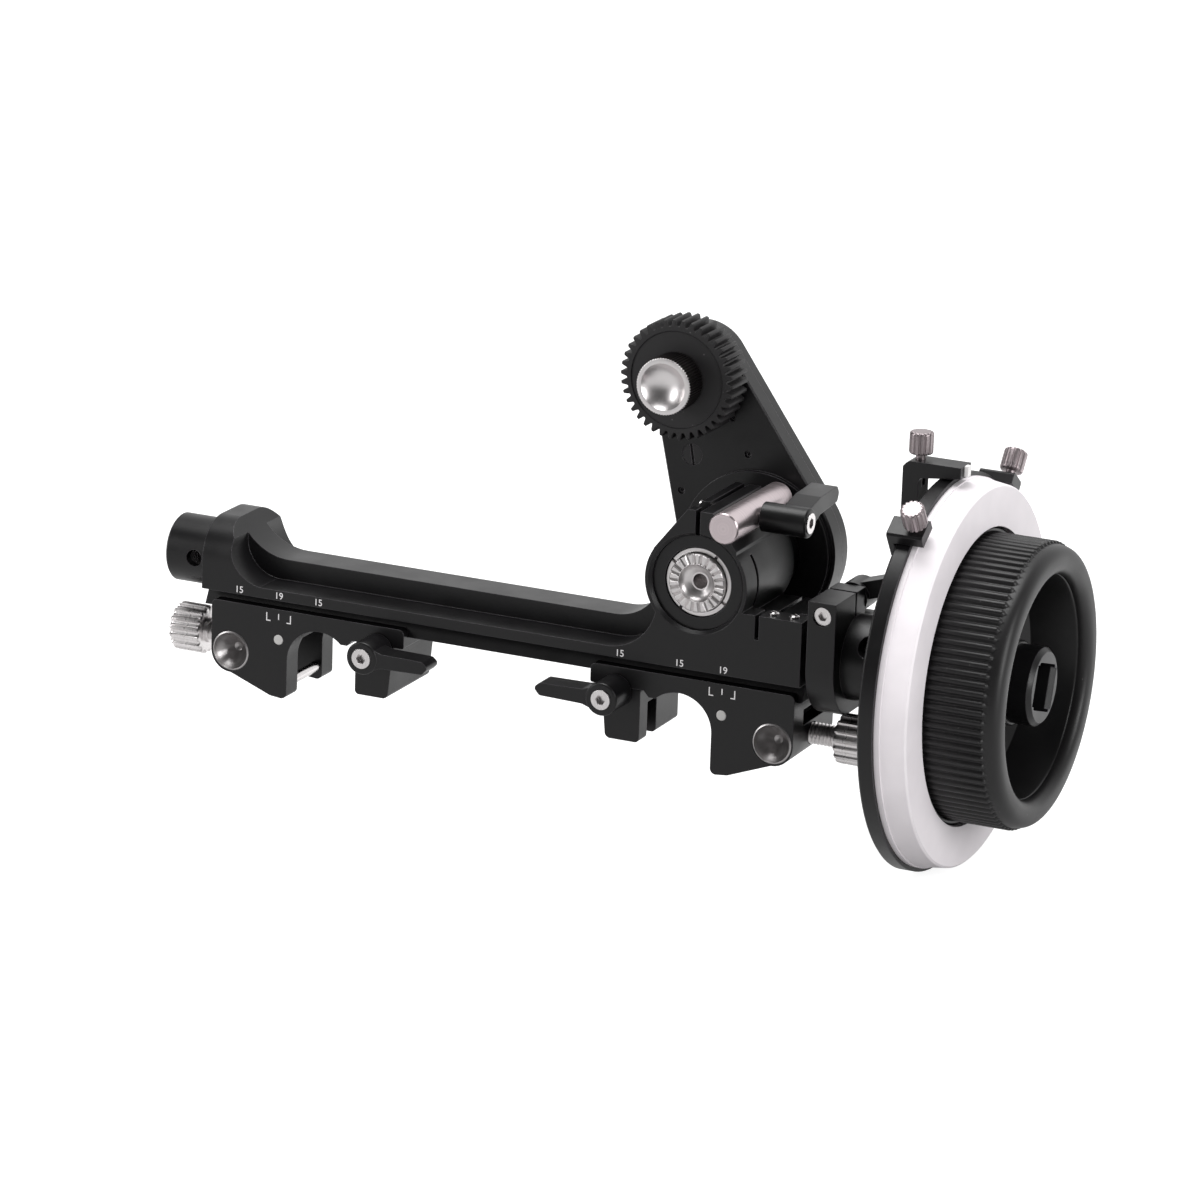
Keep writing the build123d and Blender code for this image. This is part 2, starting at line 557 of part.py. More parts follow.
# ---------------------------------------------------------------- rod clamps, written for the left one
def carriage():
    tip = (-63.3, -10.0)
    outline = [(SHOE_OUT, SHOE_TOP), (SHOE_IN, SHOE_TOP), (SHOE_IN, SHOE_UNDER), (-42.2, SHOE_UNDER),
               (-43.6, 7.0), (-ROD_X, 7.0), (-ROD_X, 0), (-ROD_X - ROD_R, 0), (-ROD_X - ROD_R, tip[1] - 0.8),
               (-66.4, tip[1] - 0.3), (CONE_X, -5.7), (SHOE_OUT, -5.7)]
    radii = [1.4, 1.4, 0.6, 0.5, 0.5, 0.01, 0.01, 0.01, 1.6, 1.5, 0.01, 5.7]
    shoe = front_face(outline, (0, SHOE_DEPTH), radii)
    shoe -= rod_y(ROD_R, (-1, SHOE_DEPTH + 1), -ROD_X, 0)
    # dovetail slot
    gap = 0.06
    top, low = RAIL_HALF_TOP + 0.2, RAIL_HALF_LOW + gap
    slot = [(RAIL_Y - top, FLANGE_Z[0] + 0.7), (RAIL_Y + top, FLANGE_Z[0] + 0.7),
            (RAIL_Y + low, RAIL_Z - gap), (RAIL_Y - low, RAIL_Z - gap)]
    shoe -= side_face(slot, (SHOE_OUT - 1, SHOE_IN + 1))
    # the lower part is a front and a rear cheek with an open pocket between them
    pocket_y = (6.2, 20.2)
    shoe -= box((-80.4, -60.0), pocket_y, (-15, SHOE_UNDER))
    shoe -= box((SHOE_OUT - 1, -79.0), pocket_y, (4.3, SHOE_UNDER))
    shoe -= rod_x(SCREW_SHANK_R + 0.06, (SHOE_OUT - 1, -79.0), RAIL_Y, SCREW_Z)
    shoe -= rod_y(CONE_R + 0.02, (-1, 6.0), CONE_X, CONE_Z)
    shoe -= rod_y(1.4, (-1, 3.0), PIN_X, PIN_Z)
    return shoe - rod_y(1.42, (3.0, 23.4), DOWEL_X, DOWEL_Z)


def lock_cone():
    """Silver cup whose cone catches the lock of a bracket."""
    return turned_y([(-0.15, CONE_R - 0.45), (0.1, CONE_R), (5.95, CONE_R), (5.95, 0), (5.0, 0),
                     (4.6, 1.2), (0.9, CONE_R - 1.0)], CONE_X, CONE_Z)


def index_pin():
    pin = rod_y(1.36, (-0.1, 2.9), PIN_X, PIN_Z)
    return fillet(pin.edges().sort_by(Axis.Y)[0], 0.2)


def rod_dowel():
    return rod_y(1.4, (3.1, 23.3), DOWEL_X, DOWEL_Z)


def mode_screw():
    """Fluted thumbscrew that locks the shoe; its axis runs along X."""
    head_x, head_end = -92.0, -102.0
    shank = rod_x(SCREW_SHANK_R, (head_x - 1, -80.6), RAIL_Y, SCREW_Z)
    neck = rod_x(3.5, (head_x - 0.5, head_x + 1.2), RAIL_Y, SCREW_Z)
    head = Pos(head_end, RAIL_Y, SCREW_Z) * Rot(0, 90, 0) * fluted_head(6.6, head_x - head_end, 16, 0.75)
    return shank + neck + head


def jaw():
    """Jaw that closes on the rod from the inner side."""
    face, back = JAW_X
    top = SHOE_UNDER - 0.1
    outline = [(face, top), (back, top), (back - 1.4, -5.8), (face, -5.8)]
    body = front_face(outline, (0.2, 24.6), [0.6, 0.6, 1.5, 1.2])
    body -= box((face - 1, face + 5), (5.0, 10.7), (-20, 4.0))
    # open slot for the screw of the cam lever
    return body - box((JAW_LEVER_X - 3.9, JAW_LEVER_X + 3.9), (-1, 17), (JAW_LEVER_Z - 2.1, top + 1))


def jaw_lever():
    """Wing lever in front of the shoe; its hub runs along Y."""
    hub = rod_y(4.4, (-9.6, -0.3), JAW_LEVER_X, JAW_LEVER_Z)
    hub = fillet(hub.edges().filter_by(GeomType.CIRCLE).sort_by(Axis.Y)[0], 0.5)
    x, z = JAW_LEVER_X, JAW_LEVER_Z
    wing = [(x, z + 3.8), (x + 5.5, z + 1.9), (x + 17.6, z + 1.7), (x + 19.3, z + 0.2), (x + 17.6, z - 1.7),
            (x + 5.5, z - 2.0), (x, z - 3.8)]
    lever = hub + front_face(wing, (-9.3, -2.9), [0.01, 3.0, 1.2, 1.0, 1.2, 3.0, 0.01])
    lever -= rod_y(2.0, (-20, 5), x, z)
    return lever - rod_y(2.7, (-12, -8.2), x, z)


def jaw_screw():
    """Hex screw of the jaw lever; its shank lies in the jaw's slot, under the shoe."""
    x, z = JAW_LEVER_X, JAW_LEVER_Z
    screw = rod_y(0.95, (-9.0, 16.0), x, z) + rod_y(1.95, (-9.0, -0.4), x, z)
    screw += rod_y(2.65, (-9.9, -8.25), x, z)
    return screw - Pos(x, -9.9, z) * Rot(90, 0, 0) * hex_socket(2.4, 1.6)


# ---------------------------------------------------------------- handwheel
def wheel_housing():
    """Clamp block on the port tube, with the tube that carries the wheel's bearings."""
    low, high = WHEEL_BLOCK_X
    block = rod_x(MID_Y, WHEEL_BLOCK_X) + box(WHEEL_BLOCK_X, (0, EAR_BACK), (DRIVE_Z, 39.5))
    block -= box((low - 1, high + 1), (-1, BRIDGE_DEPTH + 1), (0, 7.8))
    block -= box((low - 1, high + 1), (EAR_BACK, BRIDGE_DEPTH + 1), (31.2, 50))
    block -= box((low - 1, high + 1), (12.8, 13.8), (DRIVE_Z + 5, 50))
    tube = rod_x(TUBE_R, (high - 0.5, TUBE_END))
    body = block + tube
    body -= rod_x(PORT_RIGHT_R + 0.04, (low - 1, PORT_RIGHT + 0.5)) + rod_x(7.6, (low - 1, TUBE_END + 1))
    body -= rod_x(BEARING_R + 0.02, (TUBE_END - 5, TUBE_END + 1))
    body -= rod_y(2.5, (-5, MID_Y), 101.0, 27.8)
    body -= rod_y(2.0, (-1, 30), HOUSING_SCREW_X, HOUSING_SCREW_Z)
    return body - rod_y(2.5, (-1, 2.4), HOUSING_SCREW_X, HOUSING_SCREW_Z)


def housing_screw():
    x, z = HOUSING_SCREW_X, HOUSING_SCREW_Z
    screw = rod_y(1.95, (1.5, EAR_BACK + 6.0), x, z) + rod_y(2.4, (0.7, 2.3), x, z)
    return screw - Pos(x, 0.7, z) * Rot(90, 0, 0) * hex_socket(2.2, 1.2)


def housing_lever():
    """Wing lever behind the clamp block."""
    x, z = HOUSING_SCREW_X, HOUSING_SCREW_Z
    hub = rod_y(4.2, (EAR_BACK + 0.3, EAR_BACK + 8.4), x, z)
    wing = [(x - 3.0, z - 2.4), (x + 4.0, z - 0.2), (x + 14.0, z + 3.4), (x + 14.6, z + 6.4),
            (x + 12.0, z + 7.2), (x + 2.0, z + 4.1), (x - 2.4, z + 3.4)]
    lever = hub + front_face(wing, (EAR_BACK + 2.0, EAR_BACK + 8.2), [0.01, 2.0, 1.0, 1.0, 1.0, 2.0, 0.01])
    return lever - rod_y(2.02, (EAR_BACK - 1, EAR_BACK + 6.2), x, z)


def wheel_bearings():
    inner = 4.03
    near = tube_x(7.55, inner, (98.0, 102.0))
    far = tube_x(BEARING_R, inner, (TUBE_END - 4.9, TUBE_END - 0.2))
    return Compound(children=[near, far])


def wheel_shaft():
    """Hollow shaft that grips the drive shaft and carries the wheel."""
    shaft = rod_x(4.0, (97.2, 130.0)) - rod_x(SHAFT_R + 0.02, (97, 98.05))
    return shaft + rod_x(9.5, (TUBE_END + 0.3, STOP_DISC_X[0]))


def stop_disc():
    """Black disc that carries the stops, with the collar that centres the marking disc."""
    low, high = STOP_DISC_X
    seat_in, seat_out = SEAT_R
    break_edge = 0.5
    disc = [(low, 4.02), (low, STOP_DISC_R - break_edge), (low + break_edge, STOP_DISC_R),
            (high, STOP_DISC_R)]
    collar = [(high, seat_out), (SEAT_END - break_edge, seat_out), (SEAT_END, seat_out - break_edge),
              (SEAT_END, seat_in), (high, seat_in)]
    return turned_x(disc + collar + [(high, 4.02)])


def marking_disc():
    """White ring to write on: a low flange, then a slightly tapered rim."""
    low, high = MARK_X
    flange = low + 1.5
    foot = [(low, MARK_HOLE_R), (low, MARK_BASE_R), (flange, MARK_BASE_R), (flange, MARK_BASE_R - 0.3)]
    return turned_x(foot + [(high - 0.5, MARK_TOP_R), (high, MARK_TOP_R - 0.5), (high, MARK_HOLE_R)])


def grip_ring():
    """Rubber ring with fine ribs along X and a rounded rim."""
    low = STOP_DISC_X[1]
    rim = [(GRIP_END - 3.4, GRIP_R - 1.0), (GRIP_END - 1.0, GRIP_R - 2.2), (GRIP_END, GRIP_R - 4.6),
           (GRIP_END - 0.4, GRIP_R - 6.6), (GRIP_END - 2.1, DISH_R)]
    grip = turned_x([(low, 31.5), (low, GRIP_R - 0.55)] + rim + [(low, DISH_R)])
    root, top = DRIVE_Z + GRIP_R - 2.4, DRIVE_Z + GRIP_R
    rib = side_face([(MID_Y - 0.62, root), (MID_Y + 0.62, root), (MID_Y + 0.3, top), (MID_Y - 0.3, top)],
                    (low, GRIP_END - 3.6))
    ribs = []
    for index in range(GRIP_RIBS):
        ribs.append(rib.rotate(Axis((0, MID_Y, DRIVE_Z), (1, 0, 0)), 360 * index / GRIP_RIBS))
    return grip.fuse(*ribs)


def wheel_dish():
    """Black dish inside the grip, with the raised ring that holds the hub."""
    low, floor = STOP_DISC_X[1], 130.2
    rim = DISH_R - 0.02
    wall = [(low, 4.02), (low, rim), (GRIP_END - 3.2, rim), (132.0, DISH_R - 3.4), (130.0, DISH_R - 6.0)]
    ring = [(129.4, HUB_BASE_R), (HUB_BASE_END - 0.4, HUB_BASE_R), (HUB_BASE_END, HUB_BASE_R - 0.4),
            (HUB_BASE_END, HUB_SPIGOT_R + 0.05), (floor, HUB_SPIGOT_R + 0.05)]
    return turned_x(wall + ring + [(floor, 4.02)])


def hub_socket():
    """Round boss with a square socket for a crank or whip; two sides of the socket are bevelled."""
    chamfer_width = 1.1
    hub = broken_edges(rod_x(HUB_R, (HUB_BASE_END + 0.05, SOCKET_END)), Axis.X, SOCKET_END, chamfer_width)
    hub += rod_x(HUB_SPIGOT_R, (130.25, HUB_BASE_END + 1))
    y_half, z_half = SOCKET_HALF
    hole = Box(2 * SOCKET_DEPTH, 2 * y_half, 2 * z_half)
    hole = Pos(SOCKET_END, 0, 0) * fillet(hole.edges().filter_by(Axis.X), 0.8)
    bevel, proud = 1.2, 1.0
    corners = [(-y_half - bevel - proud, proud), (-y_half, -bevel), (y_half, -bevel),
               (y_half + bevel + proud, proud)]
    lead_in = extrude(Plane.YX * make_face(Polyline(*corners, close=True)), amount=z_half - 0.8, both=True)
    socket = hole + Pos(SOCKET_END, 0, 0) * lead_in
    return hub - Pos(0, MID_Y, DRIVE_Z) * Rot(SOCKET_TURN, 0, 0) * socket


def pointer_bracket():
    """Post behind the disc, with an arm that reaches over its rim."""
    low, high = POINTER_Y - 3.4, POINTER_Y + 3.4
    foot = rod_x(15.0, (106.6, 110.4)) - rod_x(TUBE_R, (100, 120))
    post = front_face([(106.6, 20), (111.0, 20), (111.0, 72.8), (122.2, 74.0), (122.2, 76.9), (108.0, 76.9),
                       (106.6, 75.4)], (low, high), [0.01, 0.01, 1.0, 0.01, 0.01, 1.6, 0.6])
    post -= rod_x(TUBE_R, (100, 120))
    body = foot + post
    return body - rod_z(1.32, (70, 80), POINTER_X, POINTER_Y)


def pointer_tip():
    return box((122.2, 123.2), (POINTER_Y - 1.0, POINTER_Y + 1.0), (74.2, 76.9))


def thumbscrew(foot_z, neck_z, head_r=3.1, head_length=5.8):
    """Small fluted thumbscrew along Z, pointing up."""
    head = Pos(0, 0, neck_z) * fluted_head(head_r, head_length, 14, 0.42)
    return head + Pos(0, 0, (foot_z + neck_z) / 2) * Cylinder(1.28, neck_z - foot_z + 0.4)


def pointer_thumbscrew():
    return Pos(POINTER_X, POINTER_Y, 0) * thumbscrew(73.0, 78.3)


def on_rim(shape, angle):
    """Turn a piece from straight up to its place round the wheel's rim."""
    return shape.rotate(Axis((0, MID_Y, DRIVE_Z), (1, 0, 0)), angle)


def hard_stop(angle):
    """Clip over the rim of the stop disc, with a hook down its back."""
    inner, outer = STOP_BLOCK_R
    half = 3.3
    width = (MID_Y - half, MID_Y + half)
    top = box(STOP_X, width, (DRIVE_Z + inner, DRIVE_Z + outer))
    hook = box((STOP_X[0], STOP_DISC_X[0] - 0.3), width, (DRIVE_Z + 47.0, DRIVE_Z + outer))
    block = chamfer((top + hook).edges().filter_by(Axis.X).group_by(Axis.Z)[-1], 0.5)
    block -= rod_z(1.32, (DRIVE_Z + 40, DRIVE_Z + 60), STOP_SCREW_X, MID_Y)
    return on_rim(block, angle)


def stop_screw(angle):
    inner, outer = STOP_BLOCK_R
    screw = Pos(STOP_SCREW_X, MID_Y, 0) * thumbscrew(DRIVE_Z + inner + 0.1, DRIVE_Z + outer + 1.4)
    return on_rim(screw, angle)


# ---------------------------------------------------------------- build
def main():
    save("bridge_body", bridge_body())
    save("left_port_tube", port_tube(PORT_R, BRIDGE_LEFT, PORT_LEFT, -93.2))
    save("right_port_tube", port_tube(PORT_RIGHT_R, BRIDGE_RIGHT, PORT_RIGHT, 91.0))
    save("port_set_screws", port_set_screws())
    save("shaft_bearings", shaft_bearings())
    save("drive_shaft", drive_shaft())
    save("drive_gear", drive_gear())
    save("clamp_bar", clamp_bar())
    save("swing_lever", swing_lever())
    save("swing_lever_screw", swing_lever_screw())

    line_deg = arm_direction()
    save("arm_barrel", arm_barrel())
    save("arm_plate", arm_plate())
    save("arm_cover", arm_cover())
    save("arm_cover_screws", arm_cover_screws())
    save("arm_slot_screw", arm_slot_screw())
    save("bearing_lock_ring", bearing_lock_ring())
    save("arm_bearings", arm_bearings())
    save("input_shaft", input_shaft())
    save("cross_gear", cross_gear())
    save("input_gear", input_gear(line_deg))
    save("idler_pin", idler_pin())
    save("idler_gear", idler_gear(line_deg))
    save("output_spindle", output_spindle())
    save("spindle_core", spindle_core())
    save("output_gear", output_gear(line_deg))
    save("focus_gear", focus_gear())
    save("gear_knob", gear_knob())

    clamp_parts = (("carriage", carriage()), ("lock_cone", lock_cone()), ("index_pin", index_pin()),
                   ("rod_dowel", rod_dowel()), ("mode_screw", mode_screw()), ("jaw", jaw()),
                   ("jaw_lever", jaw_lever()), ("jaw_screw", jaw_screw()))
    for name, shape in clamp_parts:
        save("left_" + name, shape)
        save("right_" + name, mirror(shape, about=Plane.YZ))

    save("wheel_housing", wheel_housing())
    save("housing_screw", housing_screw())
    save("housing_lever", housing_lever())
    save("wheel_bearings", wheel_bearings())
    save("wheel_shaft", wheel_shaft())
    save("stop_disc", stop_disc())
    save("marking_disc", marking_disc())
    save("grip_ring", grip_ring())
    save("wheel_dish", wheel_dish())
    save("hub_socket", hub_socket())
    save("pointer_bracket", pointer_bracket())
    save("pointer_tip", pointer_tip())
    save("pointer_thumbscrew", pointer_thumbscrew())
    save("front_stop", hard_stop(FRONT_STOP_DEG))
    save("front_stop_screw", stop_screw(FRONT_STOP_DEG))
    save("back_stop", hard_stop(BACK_STOP_DEG))
    save("back_stop_screw", stop_screw(BACK_STOP_DEG))


main()
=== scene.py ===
import json
import math

import bpy
import numpy as np
from bpy.props import FloatProperty, FloatVectorProperty, IntProperty, PointerProperty
from bpy.types import Operator, Panel, PropertyGroup
from mathutils import Matrix, Vector

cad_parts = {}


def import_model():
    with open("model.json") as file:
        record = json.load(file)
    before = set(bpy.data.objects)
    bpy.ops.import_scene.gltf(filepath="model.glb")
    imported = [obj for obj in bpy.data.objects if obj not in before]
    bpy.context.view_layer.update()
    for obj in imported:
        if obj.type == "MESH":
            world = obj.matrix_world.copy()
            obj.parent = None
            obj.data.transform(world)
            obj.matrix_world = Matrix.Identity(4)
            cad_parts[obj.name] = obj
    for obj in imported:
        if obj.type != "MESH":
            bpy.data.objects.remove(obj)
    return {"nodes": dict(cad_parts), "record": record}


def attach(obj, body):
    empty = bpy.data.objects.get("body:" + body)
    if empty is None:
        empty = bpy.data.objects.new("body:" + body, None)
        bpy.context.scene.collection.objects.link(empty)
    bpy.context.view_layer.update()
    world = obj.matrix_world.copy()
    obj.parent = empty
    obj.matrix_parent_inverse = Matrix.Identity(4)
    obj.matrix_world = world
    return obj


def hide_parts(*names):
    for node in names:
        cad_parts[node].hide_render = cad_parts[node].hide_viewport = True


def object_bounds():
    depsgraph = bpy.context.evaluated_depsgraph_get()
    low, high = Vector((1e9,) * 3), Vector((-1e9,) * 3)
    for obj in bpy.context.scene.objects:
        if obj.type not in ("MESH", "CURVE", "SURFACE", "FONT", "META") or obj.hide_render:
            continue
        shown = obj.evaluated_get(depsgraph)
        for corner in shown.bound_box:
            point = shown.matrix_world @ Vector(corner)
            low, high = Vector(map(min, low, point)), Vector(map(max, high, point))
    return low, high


bl_info = {
    "name": "Follow focus unit",
    "version": (1, 0, 0),
    "blender": (4, 5, 0),
    "location": "3D View > Sidebar > Follow Focus",
    "description": "Finishes, fine surfaces and studio for the packed follow focus unit",
    "category": "Object",
}

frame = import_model()
NODES = frame["nodes"]
BODY_OF = {node: body for body, members in frame["record"]["behaviour"]["bodies"].items() for node in members}
SLOT_OF = {entry["node"]: entry["material_slot"] for entry in frame["record"]["subparts"]}
CAD_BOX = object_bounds()

MM = 0.001
TOOL_MARK = 0.00003         # height of a lathe's tool marks, in metres
DRIVE = (0.0, 15.3, 22.0)   # a point of the drive axis, along X, in millimetres as in the CAD
SWING = (55.6, 0.0, 39.2)   # a point of the swing axis, along Y
GEAR = (35.7, 0.0, 83.8)    # a point of the lens gear's axis, along Y
BAR = (62.8, 0.0, 54.9)     # a point of the clamp bar's axis, along Y
SHOE_SCREW = (0.0, 13.2, 0.5)
CONE = (78.4, 0.0, 0.2)
STOPS = {"front_stop_screw": 34.0, "back_stop_screw": -37.0}    # degrees from straight up
MODE_MARKS = ((-76.0, "15"), (-64.1, "19"), (-52.4, "15"), (35.1, "15"), (51.9, "15"), (64.1, "19"))
INDEX_X = 64.1


# ---------------------------------------------------------------- settings
class FollowFocusSizes(PropertyGroup):
    edge_break: FloatProperty(
        name="Edge break", description="Rounding of the machined edges", default=0.00030, unit="LENGTH")
    blast_grain: FloatProperty(
        name="Blast grain", description="Size of the grain under the anodised finish", default=0.00022,
        unit="LENGTH")
    grip_ribs: IntProperty(
        name="Grip ribs", description="Ribs round the handwheel grip", default=96, min=24, max=120)
    rib_height: FloatProperty(
        name="Rib height", description="How far a grip rib stands out", default=0.00078, unit="LENGTH")
    rib_width: FloatProperty(
        name="Rib width", description="Width of a grip rib", default=0.00165, unit="LENGTH")
    gear_teeth: IntProperty(
        name="Gear teeth", description="Teeth of the lens gear", default=38, min=20, max=60)
    knurl_depth: FloatProperty(
        name="Knurl depth", description="Depth of the straight knurl on the gear knob", default=0.00028,
        unit="LENGTH")
    screw_flutes: IntProperty(
        name="Thumbscrew flutes", description="Grooves round a small thumbscrew", default=14, min=8, max=24)
    mode_flutes: IntProperty(
        name="Mode screw flutes", description="Flutes round a mode screw", default=16, min=8, max=24)
    thread_pitch: FloatProperty(
        name="Thread pitch", description="Pitch of the mode screw's thread", default=0.0010, unit="LENGTH")
    digit_height: FloatProperty(
        name="Digit height", description="Height of the numbers of the rod modes", default=0.0018,
        unit="LENGTH")


class FollowFocusColours(PropertyGroup):
    anodised: FloatVectorProperty(
        name="Black anodise", description="Colour of the machined aluminium", subtype="COLOR", size=3,
        default=(0.0052, 0.0048, 0.0054))
    steel: FloatVectorProperty(
        name="Stainless steel", description="Colour of the bright screws", subtype="COLOR", size=3,
        default=(0.82, 0.79, 0.79))
    warm_steel: FloatVectorProperty(
        name="Brushed steel", description="Colour of the small thumbscrews and the clamp bar",
        subtype="COLOR", size=3, default=(0.40, 0.35, 0.36))
    marking: FloatVectorProperty(
        name="Marking disc", description="Colour of the writing disc", subtype="COLOR", size=3,
        default=(0.86, 0.815, 0.845))
    rubber: FloatVectorProperty(
        name="Rubber", description="Colour of the lens gear", subtype="COLOR", size=3,
        default=(0.0135, 0.0125, 0.0135))
    grip: FloatVectorProperty(
        name="Grip", description="Colour of the handwheel grip", subtype="COLOR", size=3,
        default=(0.0070, 0.0065, 0.0071))


# ---------------------------------------------------------------- node helpers
def node_tree_group(name, inputs, outputs):
    """A shader node group with its named sockets; returns the group, its input node and its output node."""
    group = bpy.data.node_groups.new(name, "ShaderNodeTree")
    for label, kind, default in inputs:
        socket = group.interface.new_socket(label, in_out="INPUT", socket_type=kind)
        if default is not None:
            socket.default_value = default
    for label, kind in outputs:
        group.interface.new_socket(label, in_out="OUTPUT", socket_type=kind)
    entry = group.nodes.new("NodeGroupInput")
    leave = group.nodes.new("NodeGroupOutput")
    return group, entry, leave


def fill(tree, node, values):
    """Fill a node's sockets, by name or index, from numbers or from other sockets."""
    for key, value in values.items():
        if isinstance(value, bpy.types.NodeSocket):
            tree.links.new(value, node.inputs[key])
        else:
            node.inputs[key].default_value = value
    return node


def add(tree, kind, values=None, **settings):
    """One node with its settings and its filled sockets."""
    node = tree.nodes.new(kind)
    for key, value in settings.items():
        setattr(node, key, value)
    return fill(tree, node, values or {})


def math_node(tree, operation, first, second=0.0, third=0.0):
    return add(tree, "ShaderNodeMath", {0: first, 1: second, 2: third}, operation=operation).outputs[0]


def vector_node(tree, operation, first, second):
    node = add(tree, "ShaderNodeVectorMath", {0: first, 1: second}, operation=operation)
    return node.outputs["Value" if operation == "DOT_PRODUCT" else "Vector"]


def remap(tree, value, low, high, to_low=0.0, to_high=1.0):
    node = add(tree, "ShaderNodeMapRange", {"Value": value, "From Min": low, "From Max": high,
                                            "To Min": to_low, "To Max": to_high})
    return node.outputs["Result"]


def mix_colour(tree, factor, first, second):
    return add(tree, "ShaderNodeMix", {0: factor, 6: first, 7: second}, data_type="RGBA").outputs[2]


def bump_normal(tree, height, strength, distance):
    """Normal of a surface raised by height, where distance is the full height in metres."""
    node = add(tree, "ShaderNodeBump", {"Height": height, "Strength": strength, "Distance": distance})
    return node.outputs[0]


def in_metres(point):
    return tuple(value * MM for value in point)


def group_node(tree, group, values):
    node = tree.nodes.new("ShaderNodeGroup")
    node.node_tree = group
    return fill(tree, node, values)


# ---------------------------------------------------------------- shared effects
def edge_group():
    """Edge break: the rounded normal, and a mask that is 1 on a machined edge."""
    tree, entry, leave = node_tree_group(
        "edge_break", [("Radius", "NodeSocketFloat", 0.0003), ("Normal", "NodeSocketVector", None)],
        [("Normal", "NodeSocketVector"), ("Edge", "NodeSocketFloat")])
    radius, samples = entry.outputs["Radius"], 6
    bumped = {"Radius": radius, "Normal": entry.outputs["Normal"]}
    bevel = add(tree, "ShaderNodeBevel", bumped, samples=samples)
    true = add(tree, "ShaderNodeNewGeometry")
    plain = add(tree, "ShaderNodeBevel", {"Radius": radius}, samples=samples)
    turn = vector_node(tree, "DOT_PRODUCT", plain.outputs[0], true.outputs["Normal"])
    tree.links.new(bevel.outputs[0], leave.inputs["Normal"])
    tree.links.new(remap(tree, turn, 0.97, 0.80), leave.inputs["Edge"])
    return tree


def grain_group():
    """Blasted or moulded grain: fine cells for the height, and a slow cloud for the tone."""
    tree, entry, leave = node_tree_group(
        "fine_grain", [("Vector", "NodeSocketVector", None), ("Grain", "NodeSocketFloat", 4000.0),
                       ("Cloud", "NodeSocketFloat", 60.0)],
        [("Height", "NodeSocketFloat"), ("Cloud", "NodeSocketFloat")])
    vector = entry.outputs["Vector"]
    for output, scale, detail, rough in (("Height", "Grain", 2.0, 0.6), ("Cloud", "Cloud", 3.0, 0.55)):
        noise = add(tree, "ShaderNodeTexNoise", {"Vector": vector, "Scale": entry.outputs[scale],
                                                 "Detail": detail, "Roughness": rough}, noise_dimensions="3D")
        tree.links.new(noise.outputs["Fac"], leave.inputs[output])
    return tree


def turned_group():
    """Tool marks of a lathe: fine rings about an axis through Centre, on end faces and along the barrel."""
    tree, entry, leave = node_tree_group(
        "turned_marks", [("Vector", "NodeSocketVector", None), ("Centre", "NodeSocketVector", None),
                         ("Axis", "NodeSocketVector", None), ("Rings", "NodeSocketFloat", 7000.0)],
        [("Height", "NodeSocketFloat"), ("Streak", "NodeSocketFloat")])
    axis = entry.outputs["Axis"]
    offset = vector_node(tree, "SUBTRACT", entry.outputs["Vector"], entry.outputs["Centre"])
    along = vector_node(tree, "DOT_PRODUCT", offset, axis)
    across = add(tree, "ShaderNodeVectorMath", {0: vector_node(tree, "CROSS_PRODUCT", axis, offset)},
                 operation="LENGTH").outputs["Value"]
    place = math_node(tree, "ADD", across, along)
    for output, rings in (("Height", entry.outputs["Rings"]), ("Streak", 1500.0)):
        step = math_node(tree, "MULTIPLY", place, rings)
        values = {"W": step, "Scale": 1.0, "Detail": 2.0}
        noise = add(tree, "ShaderNodeTexNoise", values, noise_dimensions="1D")
        tree.links.new(noise.outputs["Fac"], leave.inputs[output])
    return tree


def shared_groups():
    """The three effect groups, made once and used by every finish."""
    made = {"edge": ("edge_break", edge_group), "grain": ("fine_grain", grain_group),
            "turned": ("turned_marks", turned_group)}
    return {key: bpy.data.node_groups.get(name) or make() for key, (name, make) in made.items()}


# ---------------------------------------------------------------- finishes
def new_material(name):
    """Material with an empty tree, its Principled BSDF and the object coordinates."""
    material = bpy.data.materials.new(name)
    material.use_nodes = True
    tree = material.node_tree
    tree.nodes.clear()
    shader = add(tree, "ShaderNodeBsdfPrincipled")
    output = add(tree, "ShaderNodeOutputMaterial")
    tree.links.new(shader.outputs[0], output.inputs["Surface"])
    place = add(tree, "ShaderNodeTexCoord").outputs["Object"]
    return material, tree, shader, place


def rgba(colour, factor=1.0):
    return (*(min(1.0, channel * factor) for channel in colour), 1.0)


def anodised(name, colour, groups, grain=4500.0, roughness=(0.30, 0.42), edge=0.0003, painted_edge_highlight=18.0):
    """Black anodise on blasted aluminium: slight cloud in the tone, fine grain, and a painted highlight that
    makes the edges lighter in the base colour.
    """
    material, tree, shader, place = new_material(name)
    fine = group_node(tree, groups["grain"], {"Vector": place, "Grain": grain, "Cloud": 90.0})
    cloud = fine.outputs["Cloud"]
    bump = bump_normal(tree, fine.outputs["Height"], 0.10, 0.00006)
    edges = group_node(tree, groups["edge"], {"Radius": edge, "Normal": bump})
    tone = mix_colour(tree, cloud, rgba(colour, 0.75), rgba(colour, 1.30))
    patchy = remap(tree, cloud, 0.3, 0.7, 0.5, 1.0)
    # painted highlight: the edge mask, patchy by the cloud, lifts the base colour of the edges
    painted_highlight_mask = math_node(tree, "MULTIPLY", edges.outputs["Edge"], patchy)
    tree.links.new(mix_colour(tree, painted_highlight_mask, tone, rgba(colour, painted_edge_highlight)), shader.inputs["Base Color"])
    tree.links.new(remap(tree, cloud, 0.25, 0.75, *roughness), shader.inputs["Roughness"])
    tree.links.new(edges.outputs["Normal"], shader.inputs["Normal"])
    shader.inputs["Specular IOR Level"].default_value = 0.4
    return material


